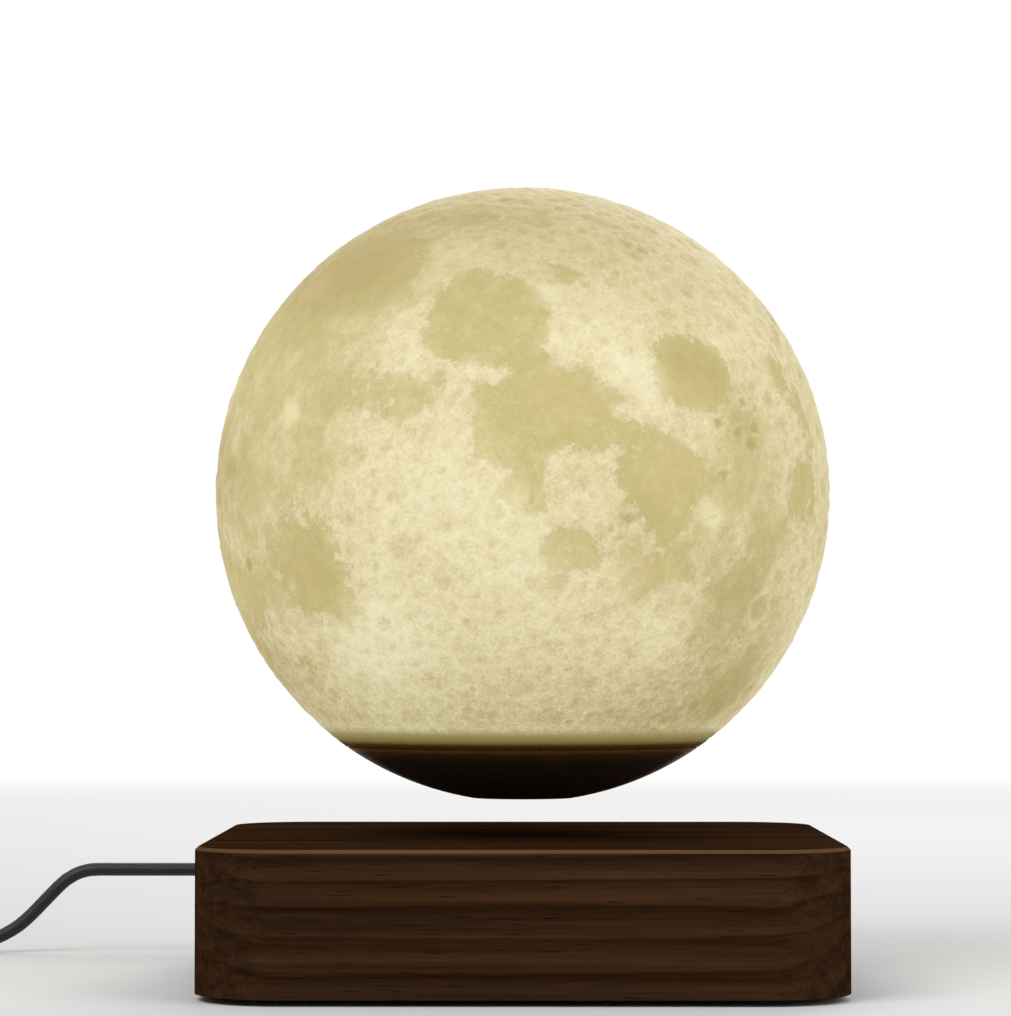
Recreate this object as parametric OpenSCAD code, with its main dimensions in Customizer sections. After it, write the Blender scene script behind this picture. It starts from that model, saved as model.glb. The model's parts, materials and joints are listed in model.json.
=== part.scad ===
// Levitating moon lamp. A hollow moon globe with a disc magnet in its foot
// hovers over a square wooden base. The base holds a ring magnet, four
// electromagnets that steady the globe, and a coil that sends it power.
// Millimetres. The origin is on the table under the middle of the base,
// +Z is up, and the front of the base faces -Y.

/* [Wooden base] */
// Width and depth of the square base
base_w = 150; // [146:1:170]
// Height of the base, from the table to its top face
base_h = 35; // [34.5:0.5:44]
// Radius of the base's upright corners
base_corner_r = 20; // [16:1:24]
// Bevel along the base's top edge
edge_bevel = 0.8; // [0.4:0.1:1.5]
// Thickness of the wooden top over the magnets
top_t = 3; // [2.5:0.1:3]
// Thickness of the wooden side walls
case_wall = 9; // [8:0.5:9.5]
// Radius of the upright corners inside the case
pocket_corner_r = 34; // [30:1:36]
// Height of the feet that show under the case
foot_h = 1.5; // [1:0.1:2.5]

/* [Bottom plate] */
// Thickness of the bottom plate
plate_t = 2.5; // [2.5:0.1:3]
// Ledge of wood that the plate's edge rests on
plate_ledge = 3; // [2.5:0.5:4]
// Radius of the plate's corners
plate_corner_r = 12; // [10:1:14]
// Diameter of a rubber foot
foot_d = 12; // [10:0.5:14]
// Depth that a foot sits in the plate
foot_seat = 0.8; // [0.5:0.1:1]
// Distance of each foot's middle from the base's sides
foot_inset = 24; // [22:0.5:28]
// Distance of each case screw from the base's sides
case_screw_inset = 15; // [14:0.5:16]
// Cooling slots in the plate
vent_count = 7; // [3:2:9]
// Length of a cooling slot
vent_l = 24; // [16:1:30]
// Width of a cooling slot
vent_w = 2.4; // [1.6:0.1:3]
// Distance between cooling slots
vent_pitch = 6; // [5:0.5:7]

/* [Levitation module] */
// Outer diameter of the ring magnet
ring_od = 110; // [100:1:112]
// Inner diameter of the ring magnet
ring_id = 70; // [66:1:74]
// Thickness of the ring magnet
ring_t = 12; // [8:0.5:12]
// Height of the rims over the ring magnet
rim_lip = 1; // [0.5:0.1:1.2]
// Thickness of the tray's rims
rim_t = 2; // [1.2:0.1:2.2]
// Thickness of the tray's floor
tray_t = 2; // [1.5:0.1:2.2]
// Distance of each tray leg from the middle
leg_ring_r = 52.5; // [52:0.5:53]
// Diameter of a tray leg
leg_d = 8; // [7:0.5:8.5]
// Air between an electromagnet's bobbin and the tray's inner rim
bobbin_rim_gap = 0.6; // [0.4:0.1:2]
// Outer diameter of an electromagnet's bobbin
bobbin_d = 23; // [19:0.5:24]
// Height of an electromagnet's bobbin
bobbin_h = 13; // [10:0.5:13]
// Thickness of a bobbin's flanges
flange_t = 1.2; // [0.8:0.1:1.6]
// Wall of a bobbin's tube
bobbin_wall = 1.2; // [0.8:0.1:1.6]
// Diameter of an electromagnet's steel core
core_d = 6; // [5:0.5:7]
// Thickness of the steel yoke plate
yoke_t = 1.5; // [1:0.1:1.6]
// Diameter of the steel yoke plate
yoke_d = 62; // [56:1:64]
// Width of the square control board
board_w = 65; // [60:1:70]
// Thickness of the circuit boards
board_t = 1.6; // [1:0.1:1.6]
// Air between the chips on the control board and the yoke plate
part_gap = 0.3; // [0.2:0.1:1]
// Thickness of the fibre spacer ring
spacer_t = 1; // [0.5:0.1:1]
// Outer diameter of the power coil in the base
send_od = 108; // [100:1:110]
// Inner diameter of the power coil in the base
send_id = 76; // [70:1:80]
// Thickness of the power coil in the base
send_t = 1.8; // [1:0.1:2.2]
// Air between the power coil and the wooden top
lid_gap = 1.2; // [0.6:0.1:2]
// Diameter of the touch electrode
touch_d = 18; // [12:1:20]
// Distance of the touch electrode's middle from the base's front face
touch_inset = 20; // [19:1:26]

/* [Globe] */
// Diameter of the moon globe
globe_d = 150; // [140:1:170]
// Air between the base and the globe's foot
hover_gap = 9; // [8:0.5:14]
// Wall of the printed shell
shell_t = 1.8; // [1.5:0.1:2.4]
// Radius of the shell's opening at the seam
seam_r = 43; // [42:0.5:46]
// Open seam between the shell and the foot
seam_gap = 0.3; // [0.2:0.1:0.5]
// Depth that the flat under the foot cuts into the ball
foot_flat = 1; // [0.5:0.1:1.5]
// Wall of the foot
cap_t = 2.2; // [1.8:0.1:2.6]
// Turn of the moon about its poles
moon_turn = -25; // [-180:1:180]
// Nod of the moon's poles towards the front
moon_nod = -8; // [-30:1:30]
// Depth of the moon's dark plains in the shell
plain_drop = 0.3; // [0.1:0.05:0.4]
// Depth of the moon's craters below their rims
crater_drop = 0.45; // [0.2:0.05:0.6]

/* [Globe foot and light] */
// Diameter of the lift magnet
magnet_d = 40; // [36:1:42]
// Thickness of the lift magnet
magnet_t = 10; // [8:0.5:11]
// Foot material under the middle of the magnet
magnet_floor = 4.2; // [4:0.1:5]
// Wall of the magnet's pocket
pocket_wall = 2.2; // [1.8:0.1:2.4]
// Depth of the magnet's pocket
pocket_h = 6.8; // [5:0.1:7]
// Width of the neck ring inside the shell's opening
neck_ledge = 7; // [6:0.5:8]
// Height of the neck ring
neck_h = 5; // [4:0.5:6]
// Wall of the foot's collar
collar_t = 2.6; // [2:0.1:2.6]
// Air inside and outside the globe's power coil
receive_gap = 0.6; // [0.4:0.1:1]
// Thickness of the globe's power coil
receive_t = 2.4; // [1:0.1:2.6]
// Thickness of the magnet cover
cover_t = 2; // [1.5:0.1:3]
// Diameter of the globe's power board
power_board_d = 60; // [56:1:62]
// Height of the posts under the globe's power board
power_post_h = 4; // [3:0.5:6]
// Height of the light board over the magnet cover
light_h = 20; // [16:1:26]
// Diameter of the light board
light_board_d = 40; // [34:1:46]
// Light chips in the outer ring of the light board
light_count = 12; // [6:1:14]

/* [Power socket and plug] */
// Place of the power socket along the back, from the middle
jack_x = -40; // [-44:1:-36]
// Depth of the power socket's middle under the base's top face
jack_drop = 13; // [12:0.5:14]
// Diameter of the socket's threaded body
jack_d = 11; // [10:0.5:12]
// Diameter of the socket's outer flange
jack_flange_d = 14; // [13:0.5:15]
// Wood left behind the socket's flange
jack_panel_t = 4; // [3:0.5:5]
// Diameter of the plug's metal barrel
barrel_d = 5.5; // [5:0.1:6]
// Length of the plug's metal barrel
barrel_l = 9.5; // [8:0.5:10]
// Width of the angled plug's body
plug_w = 11; // [10:0.5:12]
// Length of the angled plug's body, from the barrel to the strain relief
plug_l = 16; // [12:1:18]
// Length of the plug's strain relief
relief_l = 28; // [20:1:30]

/* [Cord and adapter] */
// Diameter of the cord
cord_d = 3.5; // [3:0.1:3.8]
// Whole turns in the coiled length of cord, before its last quarter turn
coil_turns = 11; // [7:1:11]
// Distance between neighbouring turns of the coil
coil_pitch = 4; // [3.9:0.05:4.2]
// Radius of the coil's outer turn
coil_outer_r = 25.3; // [25:0.1:26]
// Width of the band that holds the coil
tie_w = 9; // [6:0.5:12]
// Thickness of the band that holds the coil
tie_t = 0.6; // [0.4:0.1:0.6]
// Length of the adapter's case
adapter_l = 75; // [60:1:90]
// Width of the adapter's case
adapter_w = 42; // [36:1:46]
// Height of the adapter's case
adapter_h = 29; // [28:0.5:34]
// Radius of the adapter's long edges
adapter_r = 5; // [3:0.5:7]
// Length of the adapter's strain relief
adapter_relief_l = 22; // [20:1:24]
// Distance between the adapter's blades
blade_gap = 12.7; // [12.7:0.1:12.7]
// Length of the adapter's blades
blade_l = 16; // [14:0.5:18]

/* [Hidden] */
$fn = 72;

// Clearances
slip = 0.3;          // around parts that drop into a pocket
snug = 0.1;          // around pins and barrels in their holes
leg_gap = 0.5;       // round the tray's legs
past = 1;            // cutters run past the face they cut

// Case, from the table up
case_z = foot_h;
plate_top_z = case_z + plate_t;
pocket_w = base_w - 2 * case_wall;
rebate_w = pocket_w + 2 * plate_ledge;
plate_w = rebate_w - 2 * slip;
ceiling_z = base_h - top_t;
foot_offset = base_w / 2 - foot_inset;
case_screw_offset = base_w / 2 - case_screw_inset;
touch_y = base_w / 2 - touch_inset;

// Screws
case_screw_d = 2.6;
case_screw_l = 12;
case_head_d = 5.4;
case_head_h = 1.6;
board_screw_d = 2.6;
board_screw_l = 4;
board_head_d = 4.6;
board_head_h = 1.1;
tray_screw_d = 2.6;
tray_screw_l = 8;
post_d = 7;
board_corner_r = 3;
board_hole_inset = 5;
board_hole = board_w / 2 - board_hole_inset;

// Levitation module, from the wooden top down; the posts under the board take up what is left
send_z = ceiling_z - lid_gap - send_t;
spacer_z = send_z - spacer_t;
rim_z = spacer_z;
tray_floor_z = rim_z - rim_lip - ring_t;
tray_z = tray_floor_z - tray_t;
yoke_z = tray_z - yoke_t;
part_h = 1.6;
board_top_z = yoke_z - part_gap - part_h;
board_z = board_top_z - board_t;
board_post_h = board_z - plate_top_z;

// Parts on the control board
part_row_inset = 8;
controller_w = 10;
driver_w = 5;
driver_l = 6;
driver_pitch = 7;
choke_d = 8;
choke_pitch = 11;
regulator_w = 12;
regulator_l = 6;

// Magnets and electromagnets
ring_slip = 0.4;
outer_rim_r = ring_od / 2 + ring_slip;
inner_rim_r = ring_id / 2 - ring_slip;
coil_ring_r = inner_rim_r - rim_t - bobbin_rim_gap - bobbin_d / 2;
core_slip = 0.1;
core_r = core_d / 2;
bobbin_tube_r = core_r + core_slip + bobbin_wall;
winding_slip = 0.4;
hall_post_d = 8;
hall_post_h = 7;
hall_board_w = 9;
hall_board_t = 1;
sensor_w = 4;
sensor_d = 1.5;
sensor_h = 3;
touch_t = 0.3;

// Globe, from the base's top face up
globe_r = globe_d / 2;
cap_z = base_h + hover_gap;
globe_z = cap_z + globe_r - foot_flat;
seam_z = globe_z - sqrt(globe_r * globe_r - seam_r * seam_r);
cap_top_z = seam_z - seam_gap;
magnet_z = cap_z + magnet_floor;
magnet_r = magnet_d / 2;
cover_slip = 0.2;
cover_z = magnet_z + magnet_t + cover_slip;
pocket_r = magnet_r + slip;
seat_r = pocket_r + pocket_wall;
seat_z = magnet_z + pocket_h;
cover_screw_d = 2;
cover_head_d = 3.6;
cover_head_h = 1;
cover_screw_bite = 4;
boss_d = 5;
boss_bite = 0.6;     // how far a boss runs into the magnet's seat
cover_screw_ring_r = seat_r + boss_d / 2 - boss_bite;
neck_bore_r = seam_r - neck_ledge;
collar_r = neck_bore_r - slip;
collar_rise = 1.4;   // how far the collar stands over the neck ring
collar_z = cap_top_z + neck_h + collar_rise;
bead_h = 0.8;
bead_r = 0.5;
receive_slip = 0.3;
receive_z = cover_z - receive_slip - receive_t;
receive_out_r = collar_r - collar_t - receive_gap;
receive_in_r = cover_screw_ring_r + boss_d / 2 + receive_gap;
rib_count = 6;
rib_w = 1.6;
cover_r = collar_r - collar_t - slip;
cover_top_z = cover_z + cover_t;
cover_screw_l = cover_top_z - seat_z + cover_screw_bite;
power_board_z = cover_top_z + power_post_h;
power_post_ring_r = 25;
power_post_d = 5;
peg_d = 2;
light_board_z = cover_top_z + light_h;
stalk_r = 7;
stalk_foot_r = 10;
stalk_head_r = 16;
stalk_flange_t = 2;
stalk_gap = 2;       // between the stalk's foot and the power board
peg_rise = 1;        // how far the pegs stand over the power board
power_part_ring_r = 20;
rectifier_w = 6;
rectifier_l = 4;
rectifier_h = 1.8;
capacitor_d = 6;
capacitor_h = 5;
chip_w = 3.5;
chip_h = 1.4;

// Maria of the real moon, in overlapping rounds: latitude, longitude, angular radius in degrees
PLAINS = [[17, 59, 8.2], [28, 17.5, 10.8], [8.5, 29, 10], [7, 37, 9], [-1, 28, 6], [-3, 51, 8],
    [-10, 52.5, 8], [-15.2, 35, 5.4], [34, -17, 17], [12, -50, 16], [31, -57, 14], [-2, -45, 13],
    [-24, -39, 6.4], [-21, -16, 8.5], [-10, -24, 9], [13, 3, 5], [57, -20, 5], [57, 1, 5], [56, 22, 5],
    [1.3, 87.5, 5.5], [13.3, 86, 5.5], [-38, 92, 8], [27, 148, 5], [-34, 163, 5], [-19.4, -93, 6],
    [57, 81, 4]];
// Large craters of the real moon: latitude, longitude, angular radius in degrees
CRATERS = [[-43.3, -11.2, 1.7], [9.6, -20, 1.8], [-8.9, 61, 2.2], [-25.1, 60.4, 2.9], [-11.4, 26.4, 1.9],
    [-58, -14, 3.6], [-9.3, -2, 2.6], [51.6, -9.4, 1.8], [-5.5, -68, 2.7], [-44.3, -55, 3.3],
    [-17.5, -40, 1.9], [-27, 81, 3.2], [-45, 41, 2.9], [-32.5, -5.5, 4], [-66.5, -69, 4.6],
    [-20.4, 129, 3.1], [-4, -157, 6.5], [-20, 149, 4.3], [5.7, 141, 5.1], [51, 164, 3.8],
    [45, -152, 3.6], [58, -146, 5], [2.6, -129, 6.6], [-36, -151, 6.5], [-57, 163, 5],
    [27, 90, 2.2], [31.8, 99.8, 2.6], [-58, 137, 5.1], [46, 44, 1.5], [50, 17, 1.5], [8.1, -38, 1.2],
    [23.7, -47.4, 1.2], [16.1, 46.8, 1.1]];

// Socket and plug
jack_panel_y = base_w / 2 - jack_panel_t;
jack_flange_t = 1.5;
jack_z = base_h - jack_drop;
jack_thread_l = 11;
nut_af = jack_d + 3;
nut_t = 2.5;
jack_well_gap = 1;
jack_well_d = nut_af / cos(30) + 2 * jack_well_gap;
socket_pin_d = 2;
socket_pin_l = 8.5;
plug_face_y = base_w / 2 + jack_flange_t;
cord_y = plug_face_y + plug_w / 2;
relief_x = jack_x - plug_l;
relief_big_d = 7.6;
relief_small_d = 4.6;
relief_ribs = 6;
rib_groove = 0.5;

// Cord: the route's points from the strain relief to the coil
cord_r = cord_d / 2;
ROUTE = [[-84, 82, 22], [-92, 82, 22], [-100, 82, 22], [-107, 82, 22], [-113, 82, 22],
    [-116, 82, 21.7], [-119, 82, 20.7], [-121.5, 82, 19.2], [-123.5, 82, 17.4], [-127, 82, 13.8],
    [-130.5, 82, 10.2], [-134, 82, 7.1], [-138, 82, 4.7], [-142, 82, 3.1], [-146, 82, 2.3],
    [-150, 82, 2], [-155, 82, 2], [-161, 82, 2.1], [-167, 82, 2.3], [-173, 82, 2.6],
    [-178, 82, 2.7], [-181.5, 82, 2.7]];
cord_sides = 8;
coil_sides = 6;
coil_steps = 24;
coil_layers = 4;
coil_start = ROUTE[len(ROUTE) - 1];
coil_center = [coil_start[0] - cord_d, coil_start[1] - coil_outer_r, coil_start[2]];
wound_turns = coil_turns + 0.25;
layer_turns = wound_turns / coil_layers;
coil_inner_r = coil_outer_r - coil_pitch * layer_turns;
coil_top_z = coil_center[2] + (coil_layers - 1) * coil_pitch;
tie_slip = 0.35;

// Adapter, in line with the coil's last turn
tail_x = coil_center[0] - coil_outer_r;
tail_start_y = coil_center[1] - cord_d;
tail_l = 22;
adapter_relief_y = tail_start_y - tail_l;
adapter_y = adapter_relief_y - adapter_relief_l;
adapter_end_y = adapter_y - adapter_l;
adapter_face_t = 3;
adapter_relief_d = 8;
blade_w = 6.3;
blade_t = 1.5;
blade_hole_d = 3.2;

// ---------- shared shapes ----------

// A square with rounded corners, made of true arcs
module rounded_rect(w, d, r) {
    square([w - 2 * r, d], center = true);
    square([w, d - 2 * r], center = true);
    for (sx = [-1, 1], sy = [-1, 1])
        translate([sx * (w / 2 - r), sy * (d / 2 - r)]) circle(r);
}

// A slot with round ends
module slot(w, l) {
    square([w, l - w], center = true);
    for (side = [-1, 1]) translate([0, side * (l - w) / 2]) circle(w / 2);
}

module slab(w, r, h) {
    linear_extrude(h) rounded_rect(w, w, r);
}

// The top of a slab, narrowed by a bevel of width b
module bevelled_slab(w, r, b) {
    for (sx = [-1, 1], sy = [-1, 1])
        translate([sx * (w / 2 - r), sy * (w / 2 - r), 0]) cylinder(h = b, r1 = r, r2 = r - b);
    for (turn = [0, 90])
        rotate([0, 0, turn]) rotate([90, 0, 0]) linear_extrude(w - 2 * r, center = true)
            polygon([[-w / 2, 0], [w / 2, 0], [w / 2 - b, b], [-w / 2 + b, b]]);
}

module tube(r_out, r_in, h) {
    difference() {
        cylinder(h = h, r = r_out);
        translate([0, 0, -past]) cylinder(h = h + 2 * past, r = r_in);
    }
}

module at_corners(offset) {
    for (sx = [-1, 1], sy = [-1, 1]) translate([sx * offset, sy * offset, 0]) children();
}

module around(count, r, start = 0) {
    for (i = [0 : count - 1]) rotate([0, 0, start + i * 360 / count]) translate([r, 0, 0]) children();
}

// A ball of radius r about the globe's centre
module ball(r) {
    translate([0, 0, globe_z]) sphere(r, $fn = 144);
}

// Turns +Z to the place on the moon at a latitude and longitude
module on_moon(lat, lon) {
    translate([0, 0, globe_z]) rotate([moon_nod, 0, 0]) rotate([0, 0, moon_turn + lon])
        rotate([90 - lat, 0, 0]) children();
}

// A countersunk screw, head flush with z = 0, pointing up
module countersunk_screw(d, l, head_d, head_h) {
    cylinder(h = head_h, d1 = head_d, d2 = d);
    cylinder(h = l, d = d);
}

// A pan-head screw, head on top of z = 0, pointing down
module pan_screw(d, l, head_d, head_h) {
    cylinder(h = head_h, d = head_d);
    translate([0, 0, -l]) cylinder(h = l, d = d);
}

// ---------- base ----------

module wood_case() {
    color("saddlebrown") difference() {
        union() {
            translate([0, 0, case_z]) slab(base_w, base_corner_r, base_h - edge_bevel - case_z);
            translate([0, 0, base_h - edge_bevel]) bevelled_slab(base_w, base_corner_r, edge_bevel);
        }
        translate([0, 0, case_z - past]) slab(pocket_w, pocket_corner_r, ceiling_z - case_z + past);
        translate([0, 0, case_z - past]) slab(rebate_w, plate_corner_r + slip, plate_t + past);
        at_corners(case_screw_offset)
            translate([0, 0, case_z]) cylinder(h = case_screw_l + past, d = case_screw_d);
        jack_cut();
    }
}

// Hole for the socket in the back wall, with a well for its nut inside
module jack_cut() {
    translate([jack_x, base_w / 2 + past, jack_z]) rotate([90, 0, 0])
        cylinder(h = 2 * jack_panel_t + past, d = jack_d + 2 * snug);
    translate([jack_x, jack_panel_y, jack_z]) rotate([90, 0, 0])
        cylinder(h = jack_thread_l + past, d = jack_well_d);
}

module bottom_plate() {
    color("dimgray") difference() {
        union() {
            translate([0, 0, case_z]) slab(plate_w, plate_corner_r, plate_t);
            at_corners(board_hole) translate([0, 0, plate_top_z]) cylinder(h = board_post_h, d = post_d);
        }
        at_corners(case_screw_offset) screw_cut(case_screw_d, case_head_d, case_head_h);
        around(4, leg_ring_r, 45) screw_cut(tray_screw_d, case_head_d, case_head_h);
        at_corners(foot_offset)
            translate([0, 0, case_z - past]) cylinder(h = foot_seat + past, d = foot_d + 2 * snug);
        at_corners(board_hole)
            translate([0, 0, case_z + foot_seat]) cylinder(h = board_post_h + plate_t, d = board_screw_d);
        for (i = [0 : vent_count - 1])
            translate([(i - (vent_count - 1) / 2) * vent_pitch, 0, case_z - past])
                linear_extrude(plate_t + 2 * past) slot(vent_w, vent_l);
    }
}

// Through hole with a countersink, from under the plate
module screw_cut(d, head_d, head_h) {
    translate([0, 0, case_z - past]) cylinder(h = plate_t + 2 * past, d = d + 2 * snug);
    translate([0, 0, case_z]) cylinder(h = head_h, d1 = head_d + 2 * snug, d2 = d + 2 * snug);
}

module rubber_feet() {
    color("black") at_corners(foot_offset) {
        cylinder(h = foot_h / 2, d1 = foot_d - 1, d2 = foot_d);
        translate([0, 0, foot_h / 2]) cylinder(h = foot_h / 2 + foot_seat, d = foot_d);
    }
}

module base_screws() {
    color("silver") at_corners(case_screw_offset)
        translate([0, 0, case_z]) countersunk_screw(case_screw_d, case_screw_l, case_head_d, case_head_h);
}

module tray_screws() {
    color("silver") around(4, leg_ring_r, 45)
        translate([0, 0, case_z]) countersunk_screw(tray_screw_d, tray_screw_l, case_head_d, case_head_h);
}

module control_board() {
    color("darkgreen") difference() {
        translate([0, 0, board_z]) slab(board_w, board_corner_r, board_t);
        at_corners(board_hole)
            translate([0, 0, board_z - past]) cylinder(h = board_t + 2 * past, d = board_screw_d + 2 * snug);
        around(4, leg_ring_r, 45)
            translate([0, 0, board_z - past]) cylinder(h = board_t + 2 * past, d = leg_d + 2 * leg_gap);
    }
}

// On the control board: a controller, four coil drivers, three storage coils and a regulator
module board_parts() {
    row = board_w / 2 - part_row_inset;
    color("dimgray") translate([0, 0, board_top_z]) {
        translate([-controller_w, -row, 0]) linear_extrude(part_h) square(controller_w, center = true);
        translate([regulator_w, -row, 0]) linear_extrude(part_h) square([regulator_w, regulator_l], center = true);
        for (i = [0 : 3]) translate([(i - 1.5) * driver_pitch, row, 0])
            linear_extrude(part_h) square([driver_w, driver_l], center = true);
        for (i = [-1 : 1]) translate([-row, i * choke_pitch, 0]) cylinder(h = part_h, d = choke_d);
    }
}

module board_screws() {
    color("silver") at_corners(board_hole)
        translate([0, 0, board_top_z]) pan_screw(board_screw_d, board_screw_l, board_head_d, board_head_h);
}

module module_tray() {
    color("gainsboro") difference() {
        union() {
            translate([0, 0, tray_z]) rotate_extrude() tray_profile();
            around(4, leg_ring_r, 45)
                translate([0, 0, plate_top_z]) cylinder(h = tray_z - plate_top_z, d = leg_d);
        }
        around(4, leg_ring_r, 45)
            translate([0, 0, plate_top_z - past])
                cylinder(h = tray_screw_l - plate_t + 2 * past, d = tray_screw_d);
        around(4, coil_ring_r)
            translate([0, 0, tray_z - past]) cylinder(h = tray_t + 2 * past, r = core_r + core_slip);
    }
}

// Half section of the tray: a post for the sensors, a floor and two rims
module tray_profile() {
    square([outer_rim_r + rim_t, tray_t]);
    square([hall_post_d / 2, tray_t + hall_post_h]);
    for (r = [inner_rim_r - rim_t, outer_rim_r]) translate([r, 0]) square([rim_t, rim_z - tray_z]);
}

module ring_magnet() {
    color("darkslategray") translate([0, 0, tray_floor_z]) tube(ring_od / 2, ring_id / 2, ring_t);
}

module yoke_plate() {
    color("silver") translate([0, 0, yoke_z]) tube(yoke_d / 2, hall_post_d / 2, yoke_t);
}

module coil_bobbins() {
    color("ivory") around(4, coil_ring_r) translate([0, 0, tray_floor_z]) difference() {
        union() {
            cylinder(h = flange_t, d = bobbin_d);
            cylinder(h = bobbin_h, r = bobbin_tube_r);
            translate([0, 0, bobbin_h - flange_t]) cylinder(h = flange_t, d = bobbin_d);
        }
        translate([0, 0, -past]) cylinder(h = bobbin_h + 2 * past, r = core_r + core_slip);
    }
}

module coil_windings() {
    color("peru") around(4, coil_ring_r) translate([0, 0, tray_floor_z + flange_t])
        tube(bobbin_d / 2 - winding_slip, bobbin_tube_r, bobbin_h - 2 * flange_t);
}

module coil_cores() {
    color("slategray") around(4, coil_ring_r)
        translate([0, 0, tray_z]) cylinder(h = tray_t + bobbin_h, r = core_r);
}

module hall_board() {
    color("darkgreen") translate([0, 0, tray_floor_z + hall_post_h]) linear_extrude(hall_board_t)
        square([hall_board_w, hall_board_w], center = true);
}

module hall_sensors() {
    color("black") translate([0, 0, tray_floor_z + hall_post_h + hall_board_t])
        for (place = [[-1, -1], [1, -1], [0, 1]])
            translate([place[0] * hall_board_w / 4, place[1] * hall_board_w / 4, 0])
                linear_extrude(sensor_h) square([sensor_w, sensor_d], center = true);
}

module spacer_ring() {
    color("tan") translate([0, 0, spacer_z]) tube(outer_rim_r + rim_t, inner_rim_r - rim_t, spacer_t);
}

module transmit_coil() {
    color("peru") translate([0, 0, send_z]) tube(send_od / 2, send_id / 2, send_t);
}

module touch_pad() {
    color("orange") translate([0, -touch_y, ceiling_z - touch_t]) cylinder(h = touch_t, d = touch_d);
}

// ---------- power socket ----------

module dc_jack() {
    color("black") translate([jack_x, plug_face_y, jack_z]) rotate([90, 0, 0]) difference() {
        union() {
            cylinder(h = jack_flange_t, d = jack_flange_d);
            cylinder(h = jack_flange_t + jack_thread_l, d = jack_d);
        }
        translate([0, 0, -past]) cylinder(h = barrel_l + 2 * past, d = barrel_d + 2 * snug);
        translate([0, 0, barrel_l]) cylinder(h = jack_thread_l, d = socket_pin_d);
    }
}

module jack_pin() {
    color("gold") translate([jack_x, plug_face_y, jack_z]) rotate([90, 0, 0])
        translate([0, 0, barrel_l + past - socket_pin_l])
            cylinder(h = socket_pin_l + jack_flange_t + jack_thread_l - barrel_l, d = socket_pin_d);
}

module jack_nut() {
    color("silver") translate([jack_x, jack_panel_y, jack_z]) rotate([90, 0, 0]) difference() {
        cylinder(h = nut_t, d = nut_af / cos(30), $fn = 6);
        translate([0, 0, -past]) cylinder(h = nut_t + 2 * past, d = jack_d);
    }
}

// ---------- globe ----------

// The printed moon: a thin ball, open at the bottom, with sunken plains and craters
module moon_shell() {
    color("lightyellow") difference() {
        ball(globe_r);
        ball(globe_r - shell_t);
        translate([0, 0, globe_z - globe_r - past])
            cylinder(h = seam_z - globe_z + globe_r + past, r = globe_r);
        difference() {
            for (p = PLAINS)
                on_moon(p[0], p[1]) plain_cutter(p[2]);
            ball(globe_r - plain_drop);
        }
        for (c = CRATERS) on_moon(c[0], c[1]) crater_cut(globe_r * sin(c[2]));
    }
}

// A short drum round the moon's surface, over an angular radius of a degrees
module plain_cutter(a) {
    foot = globe_r * cos(a) - past;
    translate([0, 0, foot]) cylinder(h = globe_r + past - foot, r = globe_r * sin(a));
}

// A ball that dishes the moon's surface inside a rim of radius r
module crater_cut(r) {
    rim_x = sqrt(globe_r * globe_r - r * r);
    sag = rim_x - (globe_r - crater_drop - (globe_r - rim_x));
    dish_r = (r * r + sag * sag) / (2 * sag);
    translate([0, 0, rim_x - sag + dish_r]) sphere(dish_r);
}

// Ring bonded inside the shell's opening, which the foot's collar clicks into
module neck_ring() {
    color("wheat") intersection() {
        ball(globe_r - shell_t);
        translate([0, 0, cap_top_z]) tube(seam_r + shell_t, neck_bore_r, neck_h);
    }
}

module foot_cap() {
    color("dimgray") difference() {
        union() {
            foot_bowl();
            foot_collar();
            intersection() {
                ball(globe_r - cap_t / 2);
                for (i = [0 : rib_count - 1]) rotate([0, 0, i * 360 / rib_count])
                    translate([seat_r - pocket_wall / 2, -rib_w / 2, cap_z])
                        cube([collar_r - seat_r, rib_w, seat_z - cap_z]);
            }
            around(3, cover_screw_ring_r, 30) translate([0, 0, magnet_z]) cylinder(h = pocket_h, d = boss_d);
        }
        translate([0, 0, magnet_z]) cylinder(h = pocket_h + past, r = pocket_r);
        around(3, cover_screw_ring_r, 30) translate([0, 0, cover_top_z - cover_screw_l])
            cylinder(h = cover_screw_l, d = cover_screw_d);
    }
}

// The foot's outside: a zone of the globe's ball with a flat under it, hollowed round the magnet's seat
module foot_bowl() {
    difference() {
        intersection() {
            ball(globe_r);
            translate([0, 0, cap_z]) cylinder(h = cap_top_z - cap_z, r = globe_r);
        }
        difference() {
            ball(globe_r - cap_t);
            translate([0, 0, cap_z]) cylinder(h = seat_z - cap_z, r = seat_r);
        }
    }
    intersection() {
        ball(globe_r - cap_t / 2);
        translate([0, 0, cap_z]) cylinder(h = seat_z - cap_z, r = seat_r);
    }
}

// Collar that goes up through the neck ring and hooks over it with a bead
module foot_collar() {
    intersection() {
        ball(globe_r - cap_t / 2);
        translate([0, 0, cap_z]) tube(collar_r, collar_r - collar_t, collar_z - cap_z);
    }
    intersection() {
        ball(globe_r - cap_t / 2);
        translate([0, 0, cap_top_z - cap_t]) tube(seam_r, collar_r - collar_t, cap_t);
    }
    translate([0, 0, collar_z - bead_h]) rotate_extrude()
        polygon([[collar_r - collar_t / 2, 0], [collar_r, 0], [collar_r + bead_r, bead_h / 2],
            [collar_r, bead_h], [collar_r - collar_t / 2, bead_h]]);
}

module lift_magnet() {
    edge = 0.5;
    color("silver") translate([0, 0, magnet_z]) {
        cylinder(h = edge, r1 = magnet_r - edge, r2 = magnet_r);
        translate([0, 0, edge]) cylinder(h = magnet_t - 2 * edge, r = magnet_r);
        translate([0, 0, magnet_t - edge]) cylinder(h = edge, r1 = magnet_r, r2 = magnet_r - edge);
    }
}

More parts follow.
